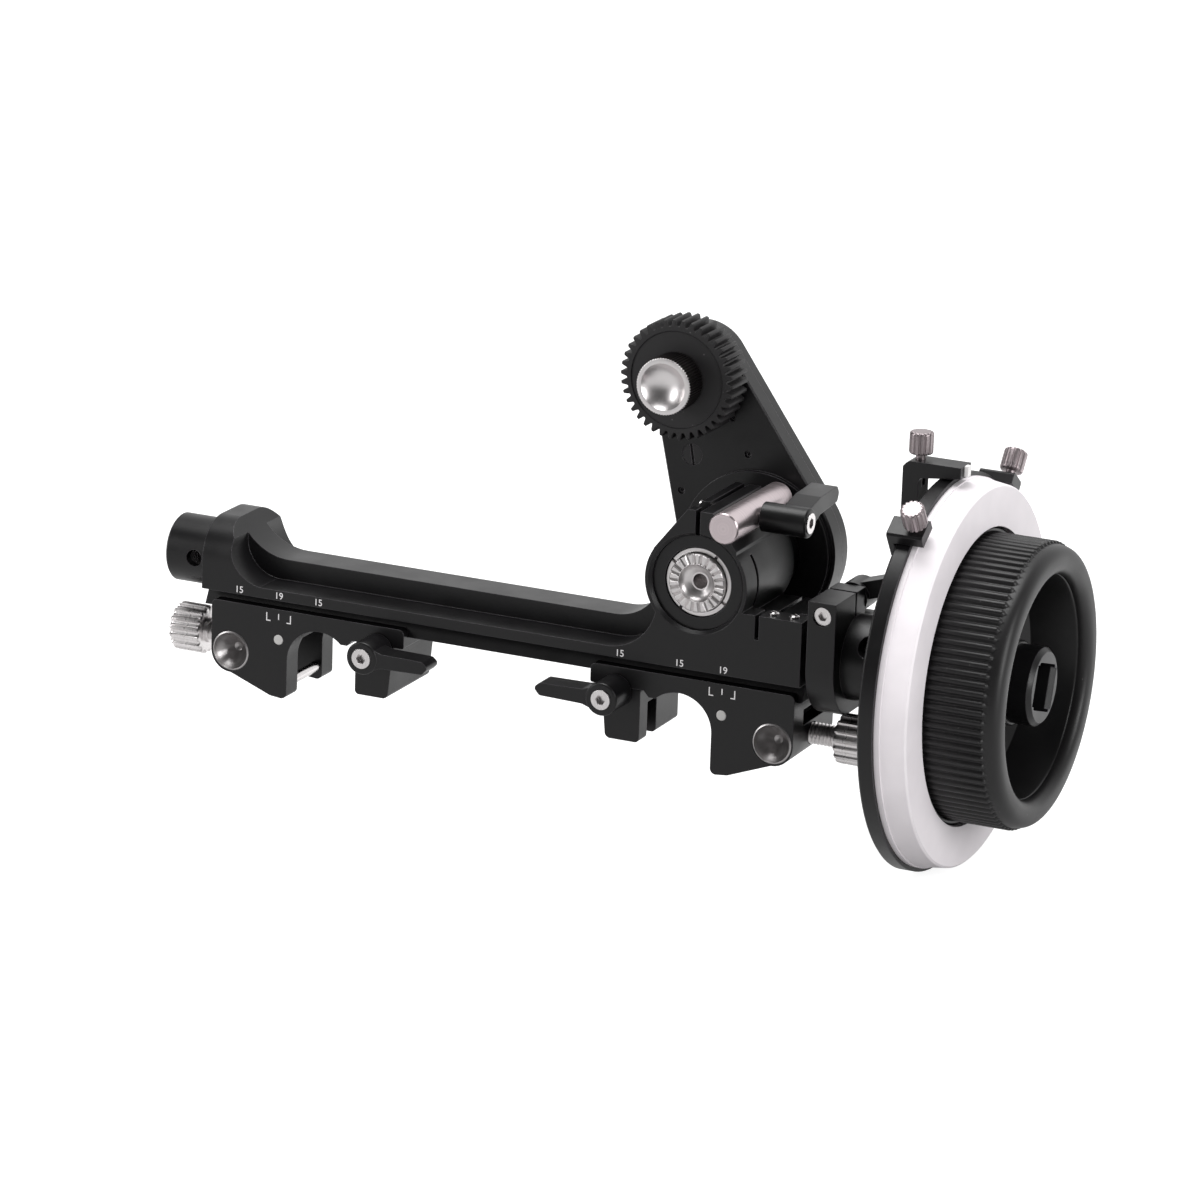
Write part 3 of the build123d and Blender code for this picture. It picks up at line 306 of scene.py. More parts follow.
def turned_steel(name, colour, groups, centre, axis, roughness=(0.20, 0.30), depth=0.05):
    """Turned metal whose tool marks run round the axis that passes through centre."""
    material, tree, shader, place = new_material(name)
    marks = group_node(tree, groups["turned"], {"Vector": place, "Centre": in_metres(centre), "Axis": axis})
    bump = bump_normal(tree, marks.outputs["Height"], depth, TOOL_MARK)
    edges = group_node(tree, groups["edge"], {"Radius": 0.0001, "Normal": bump})
    tone = mix_colour(tree, marks.outputs["Streak"], rgba(colour, 0.80), rgba(colour, 1.1))
    tree.links.new(tone, shader.inputs["Base Color"])
    tree.links.new(remap(tree, marks.outputs["Streak"], 0.3, 0.7, *roughness), shader.inputs["Roughness"])
    tree.links.new(edges.outputs["Normal"], shader.inputs["Normal"])
    shader.inputs["Metallic"].default_value = 1.0
    return material


def moulded(name, colour, groups, grain=2600.0, roughness=(0.50, 0.64), depth=0.15, dust=0.0):
    """Rubber or plastic: mould grain, slight cloud, and where asked a little pale dust in specks."""
    material, tree, shader, place = new_material(name)
    fine = group_node(tree, groups["grain"], {"Vector": place, "Grain": grain, "Cloud": 70.0})
    bump = bump_normal(tree, fine.outputs["Height"], depth, 0.00008)
    edges = group_node(tree, groups["edge"], {"Radius": 0.0002, "Normal": bump})
    tone = mix_colour(tree, fine.outputs["Cloud"], rgba(colour, 0.88), rgba(colour, 1.10))
    if dust:
        specks = add(tree, "ShaderNodeTexVoronoi", {"Vector": place, "Scale": 300.0}, feature="F1")
        mask = remap(tree, specks.outputs["Distance"], 0.075, 0.035, 0.0, dust)
        tone = mix_colour(tree, mask, tone, (0.16, 0.155, 0.155, 1.0))
    tree.links.new(tone, shader.inputs["Base Color"])
    tree.links.new(remap(tree, fine.outputs["Cloud"], 0.25, 0.75, *roughness), shader.inputs["Roughness"])
    tree.links.new(edges.outputs["Normal"], shader.inputs["Normal"])
    return material


def knob_steel(name, colour, groups):
    """Gear knob: bright turned end, and a blackened side whose knurl shows a little metal."""
    material, tree, shader, place = new_material(name)
    centre = in_metres(GEAR)
    marks = group_node(tree, groups["turned"], {"Vector": place, "Centre": centre, "Axis": (0.0, 1.0, 0.0)})
    depth = add(tree, "ShaderNodeSeparateXYZ", {0: place}).outputs["Y"]
    offset = vector_node(tree, "SUBTRACT", place, centre)
    flat = vector_node(tree, "MULTIPLY", offset, (1.0, 0.0, 1.0))
    across = add(tree, "ShaderNodeVectorMath", {0: flat}, operation="LENGTH").outputs["Value"]
    side = math_node(tree, "MULTIPLY", remap(tree, depth, 20.45 * MM, 20.75 * MM),
                     remap(tree, across, 6.9 * MM, 7.05 * MM))
    dark = (0.050, 0.044, 0.044, 1.0)
    tree.links.new(mix_colour(tree, side, rgba(colour), dark), shader.inputs["Base Color"])
    tree.links.new(remap(tree, side, 0.0, 1.0, 0.35, 0.40), shader.inputs["Roughness"])
    tree.links.new(bump_normal(tree, marks.outputs["Height"], 0.04, TOOL_MARK), shader.inputs["Normal"])
    shader.inputs["Metallic"].default_value = 1.0
    return material


# ---------------------------------------------------------------- numpy surfaces
def rounded(points, radii, steps=6):
    """Outline through the points, each inner corner rounded by a curve of its radius, as two arrays."""
    points = np.asarray(points, float)
    line = [points[:1]]
    turn = np.linspace(0.0, 1.0, steps + 1)[:, None]
    for before, corner, after, radius in zip(points, points[1:], points[2:], radii):
        start = corner + (before - corner) * min(0.49, radius / np.linalg.norm(before - corner))
        end = corner + (after - corner) * min(0.49, radius / np.linalg.norm(after - corner))
        line.append((1 - turn) ** 2 * start + 2 * turn * (1 - turn) * corner + turn ** 2 * end)
    line.append(points[-1:])
    along, radius = np.concatenate(line).T
    return along, radius


def directions(axis, tilt=0.0):
    """Three unit vectors, two across the axis and then the axis itself; tilt turns Z about X, in degrees."""
    frames = {"X": ((0, 1, 0), (0, 0, 1), (1, 0, 0)), "Y": ((0, 0, 1), (1, 0, 0), (0, 1, 0)),
              "Z": ((1, 0, 0), (0, 1, 0), (0, 0, 1))}
    angle = math.radians(tilt)
    cosine, sine = math.cos(angle), math.sin(angle)
    turn = np.array(((1, 0, 0), (0, cosine, -sine), (0, sine, cosine)))
    return np.array(frames[axis], float) @ turn.T


def grid_mesh(name, points, closed, crease=32.0):
    """Mesh of a grid of points that wraps round its columns; rows wrap when closed, or end in two poles."""
    rows, columns = points.shape[:2]
    index = np.arange(rows * columns).reshape(rows, columns)
    after = np.roll(index, -1, axis=1)
    if closed:
        index, after = np.vstack((index, index[:1])), np.vstack((after, after[:1]))
    quads = np.stack((index[:-1], after[:-1], after[1:], index[1:]), axis=-1).reshape(-1, 4)
    faces = quads.tolist()
    vertices = points.reshape(-1, 3)
    if not closed:
        poles = np.stack((points[0].mean(axis=0), points[-1].mean(axis=0)))
        first, last = len(vertices), len(vertices) + 1
        vertices = np.vstack((vertices, poles))
        faces += [[first, b, a] for a, b in zip(index[0].tolist(), after[0].tolist())]
        faces += [[last, a, b] for a, b in zip(index[-1].tolist(), after[-1].tolist())]
    corner = vertices[quads]
    volume = np.einsum("ij,ij->", corner[:, 0], np.cross(corner[:, 1], corner[:, 2]))
    volume += np.einsum("ij,ij->", corner[:, 0], np.cross(corner[:, 2], corner[:, 3]))
    if volume < 0:
        faces = [face[::-1] for face in faces]
    mesh = bpy.data.meshes.new(name)
    mesh.from_pydata(vertices, [], faces)
    mesh.validate()
    mesh.shade_smooth()
    mesh.set_sharp_from_angle(angle=math.radians(crease))
    return mesh


def turned_points(along, radius, columns, centre, frame_of_axis):
    """Points of a turned surface in metres; along and radius are in millimetres, per row or per point."""
    angle = np.linspace(0.0, 2 * math.pi, columns, endpoint=False)
    shape = np.broadcast_shapes(np.shape(along), np.shape(radius), (1, columns))
    along, radius = np.broadcast_to(along, shape), np.broadcast_to(radius, shape)
    local = np.stack((radius * np.cos(angle), radius * np.sin(angle), along), axis=-1)
    return (np.asarray(centre, float) + local @ frame_of_axis) * MM


def place_piece(name, mesh, node, material):
    """Put a fine surface in the place of a CAD node, on that node's body, with the given material."""
    mesh.materials.append(material)
    piece = bpy.data.objects.new(name, mesh)
    bpy.context.scene.collection.objects.link(piece)
    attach(piece, BODY_OF[node])
    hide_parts(node)
    return piece


def groove(angle, count, width):
    """1 in the middle of each of count round grooves, 0 outside; width is the share of the pitch."""
    phase = np.abs((angle * count / (2 * math.pi) + 0.5) % 1.0 - 0.5)
    return np.sqrt(np.clip(1 - (phase / (width / 2)) ** 2, 0, 1))


class FOLLOWFOCUS_OT_grip(Operator):
    """Grip ring with round-ended ribs"""
    bl_idname = "followfocus.grip"
    bl_label = "Grip ring"

    def execute(self, context):
        """Closed outline turned about the drive axis: a smooth ring with a half-round rim. Each rib adds a
        half ellipse across its width to the radius, and it shrinks to nothing round the rib's end."""
        sizes, colours = context.scene.follow_focus_sizes, context.scene.follow_focus_colours
        low, end, outer, bore = 119.84, 147.0, 36.2, 28.84
        rib_end, row_step, row_reach = 142.4, 0.16, (0.5, 0.1)
        half = sizes.rib_width / MM / 2
        columns = sizes.grip_ribs * 12
        outer_round, inner_round, steps = 4.1, 3.2, 12
        corners = [(low, outer), (end, outer), (end, bore), (low, bore)]
        rim_along, rim_radius = rounded(corners, (outer_round, inner_round), steps)
        fillet = slice(1, steps + 2)
        fillet_along, fillet_radius = rim_along[fillet], rim_radius[fillet]
        end_rows = np.arange(rib_end - row_reach[0], rib_end + half + row_reach[1], row_step)
        rows = np.concatenate(([low, 126.0, 133.0, 140.0], end_rows))
        first = 1 + np.count_nonzero(fillet_along <= rows[-1])
        along = np.concatenate((rows, rim_along[first:]))
        radius = np.concatenate((np.interp(rows, fillet_along, fillet_radius), rim_radius[first:]))
        angle = np.linspace(0.0, 2 * math.pi, columns, endpoint=False)
        phase = (angle * sizes.grip_ribs / (2 * math.pi) + 0.5) % 1.0 - 0.5
        across = phase * 2 * math.pi * outer / sizes.grip_ribs
        beyond = np.clip(along - rib_end, 0, None)[:, None]
        share = 1 - (across ** 2 + beyond ** 2) / half ** 2
        on_side = (radius > outer - 1.5)[:, None]
        height = np.where(on_side, np.sqrt(np.clip(share, 0, 1)), 0) * sizes.rib_height / MM
        points = turned_points(along[:, None], radius[:, None] + height, columns, DRIVE, directions("X"))
        groups = shared_groups()
        finish = moulded("grip_moulding", tuple(colours.grip), groups, 2200.0, (0.40, 0.50), dust=0.30)
        place_piece("grip_ribbed", grid_mesh("grip_ribbed", points, True, 50.0), "grip_ring", finish)
        return {"FINISHED"}


class FOLLOWFOCUS_OT_lens_gear(Operator):
    """Lens gear with rounded teeth"""
    bl_idname = "followfocus.lens_gear"
    bl_label = "Lens gear"

    def execute(self, context):
        """Closed outline turned about the gear's axis. Outside the root the radius follows a tooth wave, flat
        at the tip and steep on the flanks, and it draws in over the last half millimetre at both faces."""
        sizes, colours = context.scene.follow_focus_sizes, context.scene.follow_focus_colours
        front, back, bore = 28.4, 38.4, 3.05
        root, tip = 14.1, 15.98
        half_tip, flank_width = 0.11, 0.30      # shares of the tooth pitch
        columns = sizes.gear_teeth * 20
        angle = np.linspace(0.0, 2 * math.pi, columns, endpoint=False)
        phase = np.abs(((angle - math.pi / 2) * sizes.gear_teeth / (2 * math.pi) + 0.5) % 1.0 - 0.5)
        flank = np.clip((phase - half_tip) / flank_width, 0, 1)
        tooth = 1 - flank ** 2 * (3 - 2 * flank)
        recess, recess_radius = front + 0.3, 12.75
        # place along the axis, radius between the teeth, and the share of the tooth's height there
        outline = ((recess, bore, 0), (recess, recess_radius, 0), (front, recess_radius + 0.2, 0),
                   (front, root - 0.35, 0), (front, root - 0.05, 0.72), (front + 0.12, root, 0.90),
                   (front + 0.45, root, 1), (back - 0.45, root, 1), (back - 0.12, root, 0.90),
                   (back, root - 0.05, 0.72), (back, root - 0.4, 0), (back, bore, 0))
        rows = []
        for along, inner, share in outline:
            rows.append((np.full(columns, along), inner + share * (tip - root) * tooth))
        along, radius = (np.array(values) for values in zip(*rows))
        points = turned_points(along, radius, columns, GEAR, directions("Y"))
        finish = moulded("gear_moulding", tuple(colours.rubber), shared_groups(), dust=0.5)
        mesh = grid_mesh("lens_gear_toothed", points, True, 38.0)
        place_piece("lens_gear_toothed", mesh, "focus_gear", finish)
        return {"FINISHED"}


class FOLLOWFOCUS_OT_gear_knob(Operator):
    """Knurled knob with a dished end"""
    bl_idname = "followfocus.gear_knob"
    bl_label = "Gear knob"

    def execute(self, context):
        """Outline turned about the gear's axis: a spherical dish, a flat rim, and a side whose radius falls
        along straight V grooves."""
        sizes, colours = context.scene.follow_focus_sizes, context.scene.follow_focus_colours
        rim, back, outer = 20.0, 28.34, 7.58
        dish_radius, dish_centre, dish_edge = 8.1, rim - 5.2, 6.2
        grooves = 64
        columns = grooves * 6
        sweep = np.linspace(0.02, math.asin(dish_edge / dish_radius), 22)
        dish = (dish_centre + dish_radius * np.cos(sweep), dish_radius * np.sin(sweep))
        corners = [(rim, dish_edge + 0.12), (rim, outer), (back, outer), (back, outer - 1.6)]
        edge = rounded(corners, (0.35, 0.4), 4)
        along, radius = (np.concatenate(pair) for pair in zip(dish, edge))
        angle = np.linspace(0.0, 2 * math.pi, columns, endpoint=False)
        phase = np.abs((angle * grooves / (2 * math.pi)) % 1.0 - 0.5) * 2
        cut = np.clip((radius - outer + 0.25) / 0.25, 0, 1)[:, None] * phase * sizes.knurl_depth / MM
        points = turned_points(along[:, None], radius[:, None] - cut, columns, GEAR, directions("Y"))
        finish = knob_steel("gear_knob_steel", tuple(colours.steel), shared_groups())
        place_piece("gear_knob_knurled", grid_mesh("gear_knob_knurled", points, False), "gear_knob", finish)
        return {"FINISHED"}


class FOLLOWFOCUS_OT_thumbscrews(Operator):
    """Small thumbscrews of the pointer and the hard stops"""
    bl_idname = "followfocus.thumbscrews"
    bl_label = "Small thumbscrews"

    def execute(self, context):
        """Outline turned about each screw's axis: a plain neck, then a head with rounded ends whose radius
        falls along narrow round grooves."""
        sizes, colours = context.scene.follow_focus_sizes, context.scene.follow_focus_colours
        groups = shared_groups()
        neck, head, length = 1.27, 3.08, 5.78
        cut_from, cut_blend, cut_width, cut_depth = 2.2, 0.5, 0.42, 0.36
        columns = sizes.screw_flutes * 16
        angle = np.linspace(0.0, 2 * math.pi, columns, endpoint=False)
        places = {"pointer_thumbscrew": ((110.0, 13.4, 0.0), 0.0, 73.0, 78.3)}
        for name, turn in STOPS.items():
            places[name] = ((121.0, DRIVE[1], DRIVE[2]), turn, 51.8, 56.2)
        for name, (centre, turn, foot, start) in places.items():
            top = start + length
            corners = [(foot, neck * 0.8), (foot, neck), (start, neck), (start, head), (top, head),
                       (top, 0.3)]
            along, radius = rounded(corners, (0.1, 0.15, 0.75, 0.8), 7)
            share = np.clip((radius - cut_from) / cut_blend, 0, 1)[:, None]
            cut = share * groove(angle, sizes.screw_flutes, cut_width) * cut_depth
            frame_of_axis = directions("Z", turn)
            points = turned_points(along[:, None], radius[:, None] - cut, columns, centre, frame_of_axis)
            finish = turned_steel(name + "_steel", tuple(colours.warm_steel), groups, centre,
                                  tuple(frame_of_axis[2]), (0.36, 0.44), depth=0.08)
            place_piece(name + "_fluted", grid_mesh(name, points, False), name, finish)
        return {"FINISHED"}


class FOLLOWFOCUS_OT_mode_screws(Operator):
    """Fluted mode screws with their threads"""
    bl_idname = "followfocus.mode_screws"
    bl_label = "Mode screws"

    def execute(self, context):
        """Outline turned about the screw's axis. The head's radius falls along round flutes; the shank's
        radius waves along a helix of one pitch per turn."""
        sizes, colours = context.scene.follow_focus_sizes, context.scene.follow_focus_colours
        groups = shared_groups()
        shank, tip, neck_end, head_start, head_end = 2.93, 80.62, 90.9, 92.2, 101.2
        neck, head, thread_depth = 3.45, 6.58, 0.42
        flute_from, flute_blend, flute_width, flute_depth = 5.2, 0.6, 0.70, 0.66
        columns = sizes.mode_flutes * 14
        angle = np.linspace(0.0, 2 * math.pi, columns, endpoint=False)
        pitch = sizes.thread_pitch / MM
        thread_rows = np.arange(tip + 0.2, neck_end - 0.1, pitch / 8)
        corners = [(neck_end, shank), (neck_end, neck), (head_start, neck), (head_start, head),
                   (head_end, head), (head_end, 1.0)]
        outline, profile = rounded(corners, (0.1, 0.2, 0.75, 1.1), 6)
        along = np.concatenate(([tip], thread_rows, outline))
        radius = np.concatenate(([shank - 0.5], np.full(len(thread_rows), shank), profile))[:, None]
        wave = np.abs((along[:, None] / pitch - angle / (2 * math.pi)) % 1.0 - 0.5) * 2
        threaded = np.zeros(len(along), bool)
        threaded[1:1 + len(thread_rows)] = True
        radius = radius - np.where(threaded[:, None], thread_depth * wave, 0)
        share = np.clip((radius - flute_from) / flute_blend, 0, 1)
        radius = radius - share * groove(angle, sizes.mode_flutes, flute_width) * flute_depth
        for name, side in (("left_mode_screw", -1), ("right_mode_screw", 1)):
            points = turned_points(along[:, None] * side, radius, columns, SHOE_SCREW, directions("X"))
            finish = turned_steel(name + "_steel", tuple(colours.steel), groups, SHOE_SCREW, (1.0, 0.0, 0.0),
                                  (0.27, 0.34), depth=0.04)
            place_piece(name + "_fluted", grid_mesh(name, points, False), name, finish)
        return {"FINISHED"}


# ---------------------------------------------------------------- marks
def flat_text(text, height):
    """Vertices and triangles of a line of flat digits of the given height, centred on its foot."""
    curve = bpy.data.curves.new("digits", "FONT")
    curve.body = text
    curve.align_x = "CENTER"
    digit_share, stroke_gain = 0.70, 0.008      # of the font's size, and of the digit's height
    curve.size = height / digit_share
    curve.offset = height * stroke_gain
    curve.resolution_u = 6
    holder = bpy.data.objects.new("digits", curve)
    bpy.context.scene.collection.objects.link(holder)
    mesh = bpy.data.meshes.new_from_object(holder)
    flat = np.empty(len(mesh.vertices) * 3)
    mesh.vertices.foreach_get("co", flat)
    faces = [list(polygon.vertices) for polygon in mesh.polygons]
    bpy.data.objects.remove(holder)
    bpy.data.curves.remove(curve)
    bpy.data.meshes.remove(mesh)
    return flat.reshape(-1, 3)[:, :2], faces


def bar_shape(x, z):
    """A flat rectangle over the spans x and z, as vertices and one face."""
    return np.array([(x[0], z[0]), (x[1], z[0]), (x[1], z[1]), (x[0], z[1])]), [[0, 1, 2, 3]]


def place_marks(name, shapes, body, material):
    """White paint just proud of the front face, made of flat shapes in the X-Z plane, riding on a body."""
    proud = 0.00002
    vertices, faces = [], []
    for flat, polygons in shapes:
        base = sum(len(part) for part in vertices)
        vertices.append(np.column_stack((flat[:, 0], np.full(len(flat), -proud), flat[:, 1])))
        faces += [[base + corner for corner in polygon] for polygon in polygons]
    mesh = bpy.data.meshes.new(name)
    mesh.from_pydata(np.concatenate(vertices), [], faces)
    mesh.materials.append(material)
    piece = bpy.data.objects.new(name, mesh)
    bpy.context.scene.collection.objects.link(piece)
    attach(piece, body)
    return piece


class FOLLOWFOCUS_OT_marks(Operator):
    """Plain numbers of the rod modes and the index brackets on the shoes"""
    bl_idname = "followfocus.marks"
    bl_label = "Mode marks"

    def execute(self, context):
        sizes = context.scene.follow_focus_sizes
        paint = moulded("mark_paint", (0.80, 0.78, 0.79), shared_groups(), 3000.0, (0.45, 0.55), 0.02)
        foot = 16.72 * MM
        numbers = []
        for place, text in MODE_MARKS:
            flat, faces = flat_text(text, sizes.digit_height)
            numbers.append((flat + (place * MM, foot), faces))
        place_marks("mode_numbers", numbers, "bridge", paint)
        line, reach, top, low = 0.30 * MM, 3.7 * MM, 12.6 * MM, 10.6 * MM
        toe_length, tick_rise = 1.3 * MM, 0.4 * MM
        for side, body in ((-1, "left_carriage"), (1, "right_carriage")):
            middle = side * INDEX_X * MM
            shapes = [bar_shape((middle - line / 2, middle + line / 2), (low + tick_rise, top))]
            for end in (-1, 1):
                post = sorted((middle + end * reach, middle + end * (reach - line)))
                toe = sorted((middle + end * reach, middle + end * (reach - toe_length)))
                shapes.append(bar_shape(post, (low, top)))
                shapes.append(bar_shape(toe, (low - line, low)))
            place_marks(body + "_index", shapes, body, paint)
        return {"FINISHED"}


# ---------------------------------------------------------------- CAD nodes
def smooth_modifier():
    """Geometry nodes that join the loose triangles and shade smooth up to a crease angle."""
    crease = math.radians(28)
    group = bpy.data.node_groups.new("smooth_to_crease", "GeometryNodeTree")
    group.interface.new_socket("Geometry", in_out="INPUT", socket_type="NodeSocketGeometry")
    group.interface.new_socket("Geometry", in_out="OUTPUT", socket_type="NodeSocketGeometry")
    entry = group.nodes.new("NodeGroupInput")
    leave = group.nodes.new("NodeGroupOutput")
    merge = add(group, "GeometryNodeMergeByDistance", {"Geometry": entry.outputs[0], "Distance": 2e-6})
    smooth = add(group, "GeometryNodeSetShadeSmooth", {"Geometry": merge.outputs[0], "Shade Smooth": True},
                 domain="FACE")
    angle = add(group, "GeometryNodeInputMeshEdgeAngle")
    sharp = add(group, "FunctionNodeCompare", {0: angle.outputs["Unsigned Angle"], 1: crease},
                data_type="FLOAT", operation="GREATER_THAN")
    split = add(group, "GeometryNodeSetShadeSmooth",
                {"Geometry": smooth.outputs[0], "Selection": sharp.outputs[0], "Shade Smooth": False},
                domain="EDGE")
    group.links.new(split.outputs[0], leave.inputs[0])
    return group


def dress(nodes, material, smoothing):
    """Give CAD nodes their finish, and smooth shading up to the crease angle."""
    for name in nodes:
        node = NODES[name]
        node.data.materials.clear()
        node.data.materials.append(material)
        modifier = node.modifiers.new("smooth_to_crease", "NODES")
        modifier.node_group = smoothing


class FOLLOWFOCUS_OT_finishes(Operator):
    """Give every CAD node its finish"""
    bl_idname = "followfocus.finishes"
    bl_label = "Finish the machined pieces"

    def execute(self, context):
        sizes, colours = context.scene.follow_focus_sizes, context.scene.follow_focus_colours
        groups = shared_groups()
        smoothing = smooth_modifier()
        steel, warm, black = tuple(colours.steel), tuple(colours.warm_steel), tuple(colours.anodised)
        bar_colour = rgba(warm, 1.9)[:3]
        x_axis, y_axis = (1.0, 0.0, 0.0), (0.0, 1.0, 0.0)
        painted = {
            "black_anodised": anodised("black_anodised", black, groups, 1 / sizes.blast_grain,
                                       edge=sizes.edge_break),
            "gear_rubber": moulded("gear_rubber", tuple(colours.rubber), groups),
            "grip_rubber": moulded("grip_rubber", tuple(colours.grip), groups, 2200.0, (0.46, 0.58)),
            "marking_plastic": moulded("marking_plastic", tuple(colours.marking), groups, 3000.0,
                                       (0.42, 0.5), 0.05),
            "black_plastic": moulded("black_plastic", (0.0014, 0.0013, 0.0015), groups, 2000.0,
                                     (0.40, 0.55), 0.2),
            "index_white": moulded("index_white", (0.86, 0.85, 0.84), groups, 3000.0, (0.4, 0.5), 0.05),
            "index_pin": moulded("index_pin", (0.52, 0.51, 0.50), groups, 3000.0, (0.35, 0.45), 0.1),
            "blackened_steel": anodised("blackened_steel", (0.012, 0.011, 0.012), groups, 3000.0,
                                        (0.28, 0.4)),
            "silver_steel": turned_steel("silver_steel", steel, groups, (0, 0, 0), y_axis),
            "clamp_bar_steel": turned_steel("clamp_bar_steel", bar_colour, groups, BAR, y_axis, (0.30, 0.40),
                                            0.10),
            "gear_brass": turned_steel("gear_brass", (0.60, 0.42, 0.18), groups, SWING, y_axis,
                                       (0.25, 0.4)),
            "bearing_steel": turned_steel("bearing_steel", (0.50, 0.49, 0.48), groups, DRIVE, x_axis),
        }
        by_slot = {}
        for node in NODES:
            by_slot.setdefault(SLOT_OF[node], []).append(node)
        for slot, members in by_slot.items():
            dress(members, painted[slot], smoothing)
        left_cone = (-CONE[0], CONE[1], CONE[2])
        turned = {"left_lock_cone": left_cone, "right_lock_cone": CONE, "bearing_lock_ring": SWING,
                  "input_shaft": SWING}
        for name, centre in turned.items():
            colour = rgba(steel, 0.55)[:3] if name.endswith("lock_cone") else steel
            NODES[name].data.materials[0] = turned_steel(name + "_steel", colour, groups, centre, y_axis,
                                                         (0.32, 0.40), 0.05)
        # the dish gets a weaker painted edge highlight and the socket a stronger one
        dish = anodised("dish_black", rgba(black, 0.55)[:3], groups, painted_edge_highlight=1.5)
        socket = anodised("socket_black", black, groups, edge=0.0004, painted_edge_highlight=30.0)
        NODES["wheel_dish"].data.materials[0] = dish
        NODES["hub_socket"].data.materials[0] = socket
        return {"FINISHED"}


# ---------------------------------------------------------------- stage
def camera():
    """The photograph's camera: its place, its three directions and its lens."""
    roll = math.radians(1.87)
    focal_pixels, picture_pixels = 5563, 1200
    forward = Vector((-0.3976, 0.8721, -0.2854)).normalized()
    right = forward.cross(Vector((0, 0, 1))).normalized()
    up = right.cross(forward)
    across = math.cos(roll) * right + math.sin(roll) * up
    upward = -math.sin(roll) * right + math.cos(roll) * up
    data = bpy.data.cameras.new("camera")
    data.sensor_width = 36.0
    data.lens = data.sensor_width * focal_pixels / picture_pixels
    data.clip_end = 20.0
    thing = bpy.data.objects.new("camera", data)
    bpy.context.scene.collection.objects.link(thing)
    turn = Matrix((across, upward, -forward)).transposed().to_4x4()
    thing.matrix_world = Matrix.Translation((0.5968, -1.2453, 0.4384)) @ turn
    bpy.context.scene.camera = thing


def floor():
    """Pale floor under the wheel: white to the camera where nothing shades it, and to mirrors dim in front
    of the object and bright behind it."""
    level = CAD_BOX[0].z - 0.0002
    half = 4.0
    mesh = bpy.data.meshes.new("floor")
    corners = ((-half, -half), (half, -half), (half, half), (-half, half))
    mesh.from_pydata([(x, y, level) for x, y in corners], [], [(0, 1, 2, 3)])
    thing = bpy.data.objects.new("floor", mesh)
    bpy.context.scene.collection.objects.link(thing)
    material = bpy.data.materials.new("floor_paper")
    material.use_nodes = True
    tree = material.node_tree
    tree.nodes.clear()
    paper = add(tree, "ShaderNodeBsdfDiffuse", {"Color": (0.42, 0.42, 0.42, 1.0)})
    rays = add(tree, "ShaderNodeLightPath")
    clear = math_node(tree, "MAXIMUM", rays.outputs["Is Camera Ray"], rays.outputs["Is Transmission Ray"])
    place = add(tree, "ShaderNodeTexCoord").outputs["Object"]
    behind = remap(tree, add(tree, "ShaderNodeSeparateXYZ", {0: place}).outputs["Y"], -0.05, 0.12, 0.10, 0.75)
    seen = math_node(tree, "MAXIMUM", math_node(tree, "MULTIPLY", clear, 0.86),
                     math_node(tree, "MULTIPLY", rays.outputs["Is Glossy Ray"], behind))
    glow = add(tree, "ShaderNodeEmission", {"Color": (1, 1, 1, 1), "Strength": seen})
    both = add(tree, "ShaderNodeAddShader", {0: paper.outputs[0], 1: glow.outputs[0]})
    output = add(tree, "ShaderNodeOutputMaterial")
    tree.links.new(both.outputs[0], output.inputs["Surface"])
    mesh.materials.append(material)


def world():
    """White for the camera and for mirrors that face the backdrop, and a dim room on the camera's side."""
    room = bpy.data.worlds.new("studio")
    bpy.context.scene.world = room
    room.use_nodes = True
    tree = room.node_tree
    tree.nodes.clear()
    rays = add(tree, "ShaderNodeLightPath")
    direction = add(tree, "ShaderNodeTexCoord").outputs["Generated"]
    split = add(tree, "ShaderNodeSeparateXYZ", {0: direction})
    backdrop = remap(tree, split.outputs["Y"], -0.25, 0.75, 0.0, 1.0)
    glossy = remap(tree, math_node(tree, "POWER", backdrop, 2.0), 0.0, 1.0, 0.05, 1.0)
    clear = math_node(tree, "MAXIMUM", rays.outputs["Is Camera Ray"], rays.outputs["Is Transmission Ray"])
    mirrored = math_node(tree, "MULTIPLY", rays.outputs["Is Glossy Ray"], glossy)
    plain = math_node(tree, "MULTIPLY", rays.outputs["Is Diffuse Ray"], 0.62)
    strength = math_node(tree, "MAXIMUM", clear, math_node(tree, "MAXIMUM", mirrored, plain))
    light = add(tree, "ShaderNodeBackground", {"Color": (1, 1, 1, 1), "Strength": strength})
    output = add(tree, "ShaderNodeOutputWorld")
    tree.links.new(light.outputs[0], output.inputs["Surface"])


def softbox(name, place, target, size, power):
    """A square area lamp at place that faces target."""
    data = bpy.data.lights.new(name, "AREA")
    data.shape = "RECTANGLE"
    data.size, data.size_y = size
    data.energy = power
    thing = bpy.data.objects.new(name, data)
    bpy.context.scene.collection.objects.link(thing)
    away = Vector(place) - Vector(target)
    thing.matrix_world = Matrix.Translation(place) @ away.to_track_quat("Z", "Y").to_matrix().to_4x4()


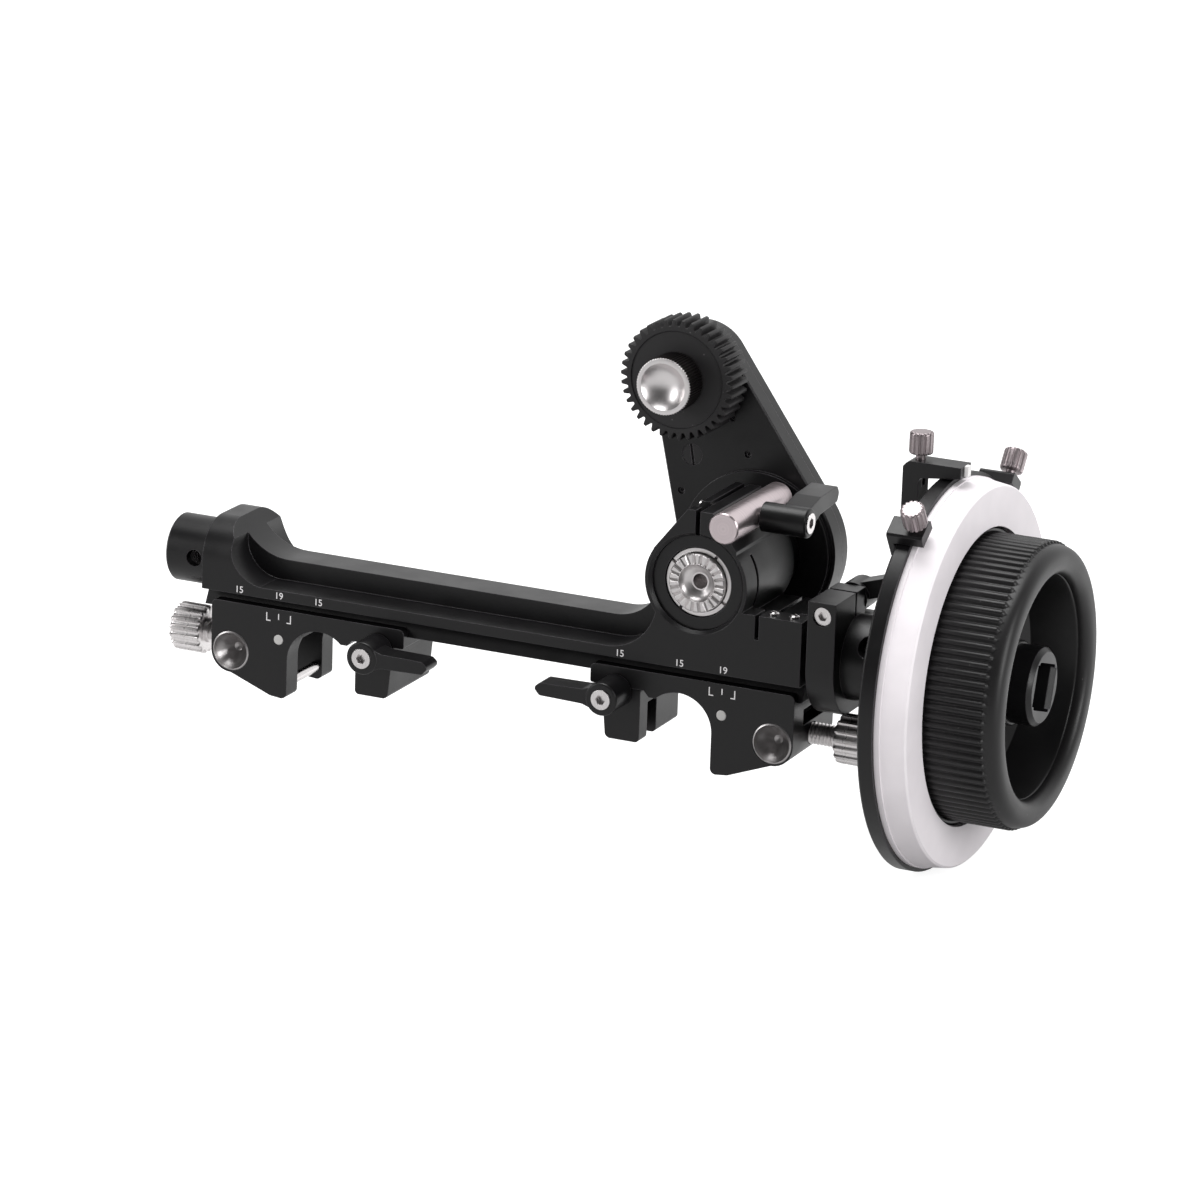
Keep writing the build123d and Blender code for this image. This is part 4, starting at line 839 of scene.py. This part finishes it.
class FOLLOWFOCUS_OT_stage(Operator):
    """Floor, room light, lamps and the camera"""
    bl_idname = "followfocus.stage"
    bl_label = "Set the studio"

    def execute(self, context):
        scene = context.scene
        scene.view_settings.view_transform = "Standard"
        floor()
        world()
        middle = (0.03, 0.015, 0.03)
        softbox("top_softbox", (-0.15, 0.05, 1.0), middle, (0.7, 0.6), 8.0)
        softbox("left_softbox", (-1.0, -0.70, 0.35), middle, (0.35, 0.6), 5.0)
        softbox("right_softbox", (1.10, -0.35, 0.45), middle, (0.35, 0.6), 6.0)
        camera()
        return {"FINISHED"}


class FOLLOWFOCUS_PT_panel(Panel):
    """Settings and steps of the follow focus unit"""
    bl_idname = "FOLLOWFOCUS_PT_panel"
    bl_label = "Follow focus unit"
    bl_space_type = "VIEW_3D"
    bl_region_type = "UI"
    bl_category = "Follow Focus"

    def draw(self, context):
        layout = self.layout
        for settings in (context.scene.follow_focus_sizes, context.scene.follow_focus_colours):
            for key in settings.__annotations__:
                layout.prop(settings, key)
        for operator in OPERATORS:
            layout.operator(operator.bl_idname)


OPERATORS = (FOLLOWFOCUS_OT_finishes, FOLLOWFOCUS_OT_grip, FOLLOWFOCUS_OT_lens_gear,
             FOLLOWFOCUS_OT_gear_knob, FOLLOWFOCUS_OT_thumbscrews, FOLLOWFOCUS_OT_mode_screws,
             FOLLOWFOCUS_OT_marks, FOLLOWFOCUS_OT_stage)
CLASSES = (FollowFocusSizes, FollowFocusColours, *OPERATORS, FOLLOWFOCUS_PT_panel)


def register():
    for entry in CLASSES:
        bpy.utils.register_class(entry)
    bpy.types.Scene.follow_focus_sizes = PointerProperty(type=FollowFocusSizes)
    bpy.types.Scene.follow_focus_colours = PointerProperty(type=FollowFocusColours)


def unregister():
    del bpy.types.Scene.follow_focus_colours
    del bpy.types.Scene.follow_focus_sizes
    for entry in reversed(CLASSES):
        bpy.utils.unregister_class(entry)


def main():
    register()
    for operator in OPERATORS:
        group, name = operator.bl_idname.split(".")
        getattr(getattr(bpy.ops, group), name)()


if __name__ == "__main__":
    main()
